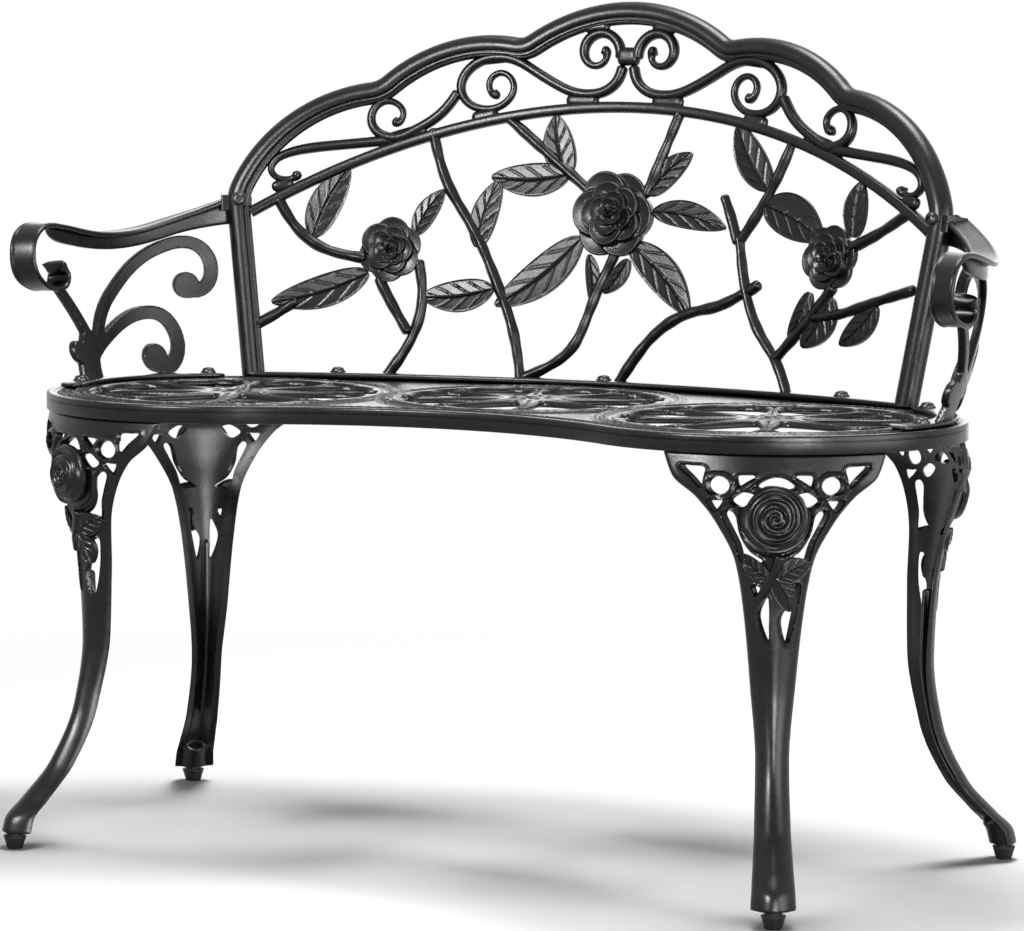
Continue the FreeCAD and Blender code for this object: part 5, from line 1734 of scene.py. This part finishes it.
back_bolts = [part for across in FLANGE_BOLTS
              for part in through_seat(on_back((across, 0)), SEAT_HEIGHT + FLANGE_THICKNESS)]
add_piece("back_flange_bolts", joined(back_bolts), black_steel)
arm_bolts = [part for degrees in ARM_BOLTS
             for part in through_seat(round_lobe(ARM_FLANGE_RADIUS, degrees, 0.0),
                                      SEAT_HEIGHT + ARM_FLANGE_THICKNESS)]
arm_bolts.append(aimed(bolt_head, joint + joint_facing * (POST_HALF - POST_BOLT_SINK), joint_facing))
arm_bolts.append(aimed(nut, joint - joint_facing * lug_reach, -joint_facing))
right_bolts = joined(arm_bolts)
add_piece("right_arm_bolts", right_bolts, black_steel)
add_piece("left_arm_bolts", flipped(right_bolts), black_steel)
leg_bolt_place = LEG_TOP - PLATE_THICKNESS
leg_bolts = [round_leg(aimed(bolt_head, (*place, leg_bolt_place), (0, 0, -1)), side, facing)
             for _, side, facing in LEG_PLACES for place in boss_places]
add_piece("leg_bolts", joined(leg_bolts), black_steel)

# %% [markdown]
# The studio floor is pale matt paper that takes the shadow between the legs. A floor that ended in view
# would draw a line behind the bench, so its surface fades out with the distance from the middle.

# %% Floor
FLOOR_REACH = 6.0
FLOOR_FADE = (0.9, 1.7)
floor_mesh = bpy.data.meshes.new("studio_floor")
floor_mesh.from_pydata([(-FLOOR_REACH, -FLOOR_REACH, 0), (FLOOR_REACH, -FLOOR_REACH, 0),
                        (FLOOR_REACH, FLOOR_REACH, 0), (-FLOOR_REACH, FLOOR_REACH, 0)], [], [(0, 1, 2, 3)])
floor = bpy.data.objects.new("studio_floor", floor_mesh)
bpy.context.scene.collection.objects.link(floor)


def floor_finish():
    """Matt pale paper that fades out into the white surround away from the bench."""
    material = bpy.data.materials.new("studio_floor")
    material.use_nodes = True
    nodes, links = material.node_tree.nodes, material.node_tree.links
    shader = nodes["Principled BSDF"]
    shader.inputs["Base Color"].default_value = (0.92, 0.92, 0.92, 1)
    shader.inputs["Roughness"].default_value = 0.95
    shader.inputs["Specular IOR Level"].default_value = 0.05
    place = nodes.new("ShaderNodeTexCoord")
    reach = nodes.new("ShaderNodeVectorMath")
    reach.operation = "LENGTH"
    fade = nodes.new("ShaderNodeMapRange")
    fade.interpolation_type = "SMOOTHSTEP"
    fade.inputs["From Min"].default_value = FLOOR_FADE[0]
    fade.inputs["From Max"].default_value = FLOOR_FADE[1]
    fade.inputs["To Min"].default_value = 1.0
    fade.inputs["To Max"].default_value = 0.0
    links.new(place.outputs["Object"], reach.inputs[0])
    links.new(reach.outputs["Value"], fade.inputs["Value"])
    links.new(fade.outputs["Result"], shader.inputs["Alpha"])
    return material


floor_mesh.materials.append(floor_finish())
print("the floor fades out from", FLOOR_FADE[0], "to", FLOOR_FADE[1], "m")

# %% [markdown]
# The surround is white to the camera, and in the coat's reflections. As a lamp it would wash out the
# shadow, so it counts for little in the light that falls on matt surfaces. The kind of ray decides between
# the two.

# %% Surround
SURROUND = 0.15
world = bpy.data.worlds.new("studio")
bpy.context.scene.world = world
world.use_nodes = True
world_nodes, world_links = world.node_tree.nodes, world.node_tree.links
background = world_nodes["Background"]
background.inputs["Color"].default_value = (1, 1, 1, 1)
ray = world_nodes.new("ShaderNodeLightPath")
level = world_nodes.new("ShaderNodeMapRange")
level.inputs["To Min"].default_value = SURROUND
level.inputs["To Max"].default_value = 1.0
seen = math_node(world_nodes, "ADD")
shown = math_node(world_nodes, "ADD")
world_links.new(ray.outputs["Is Camera Ray"], seen.inputs[0])
world_links.new(ray.outputs["Is Glossy Ray"], seen.inputs[1])
world_links.new(seen.outputs[0], shown.inputs[0])
world_links.new(ray.outputs["Is Transmission Ray"], shown.inputs[1])
world_links.new(shown.outputs[0], level.inputs["Value"])
world_links.new(level.outputs["Result"], background.inputs["Strength"])
print("the surround lights matt surfaces at", SURROUND, "of its own brightness")

# %% [markdown]
# A soft light overhead drops the shadow. Four panels round the bench are seen only as sheens on the coat,
# as strips of white card would be. A stronger lamp could draw the castings' edges too, but would light the
# floor.

# %% Lights
# Name, place, height aimed at, size and watts
TOP_LIGHT = ("top_light", (0.1, 0.5, 3.2), 0.4, 1.2, 120)
SHEENS = (("key_sheen", (-0.9, -3.2, 1.9), 0.4, 0.4, 240), ("front_sheen", (2.5, -2.6, 0.55), 0.45, 0.9, 160),
          ("side_sheen", (3.0, -0.3, 0.8), 0.5, 2.0, 100), ("back_sheen", (-1.2, 3.2, 1.2), 0.4, 2.6, 45))


def soft_light(name, place, aim_height, size, power):
    """A square soft light at a place, turned to face a point above the middle of the floor."""
    lamp = bpy.data.lights.new(name, "AREA")
    lamp.shape = "SQUARE"
    lamp.size = size
    lamp.energy = power
    holder = bpy.data.objects.new(name, lamp)
    bpy.context.scene.collection.objects.link(holder)
    holder.location = place
    holder.visible_camera = False
    away = Vector(place) - Vector((0, 0, aim_height))
    holder.rotation_euler = away.to_track_quat("Z", "Y").to_euler()
    return holder


soft_light(*TOP_LIGHT)
for sheen in SHEENS:
    soft_light(*sheen).visible_diffuse = False
bpy.context.scene.view_settings.view_transform = "Standard"
print("one light and", len(SHEENS), "sheens")

# %% [markdown]
# The camera stands where the photograph was taken from. Its place, turn and lens were fitted to pairs of
# points that mirror one another on the bench, and are written as measures in the drawing's millimetres.

# %% Camera at the photograph's place
CAMERA_DRAWN = np.array([2055.64, -3912.14, 818.68])
CAMERA_YAW = math.radians(27.49)
CAMERA_PITCH = math.radians(5.744)
CAMERA_ROLL = math.radians(0.33)
SENSOR_WIDTH = 36.0
LENS = 161.76
camera = bpy.data.objects.new("camera", bpy.data.cameras.new("camera"))
bpy.context.scene.collection.objects.link(camera)
camera.data.sensor_fit = "HORIZONTAL"
camera.data.sensor_width = SENSOR_WIDTH
camera.data.lens = LENS
turn = (Matrix.Rotation(CAMERA_YAW, 4, "Z") @ Matrix.Rotation(math.pi / 2 - CAMERA_PITCH, 4, "X")
        @ Matrix.Rotation(CAMERA_ROLL, 4, "Z"))
camera.matrix_world = Matrix.Translation(to_frame(CAMERA_DRAWN)) @ turn
bpy.context.scene.camera = camera
print("the camera stands", round(float(np.linalg.norm(CAMERA_DRAWN)) * MM, 2), "m from the drawing's origin")
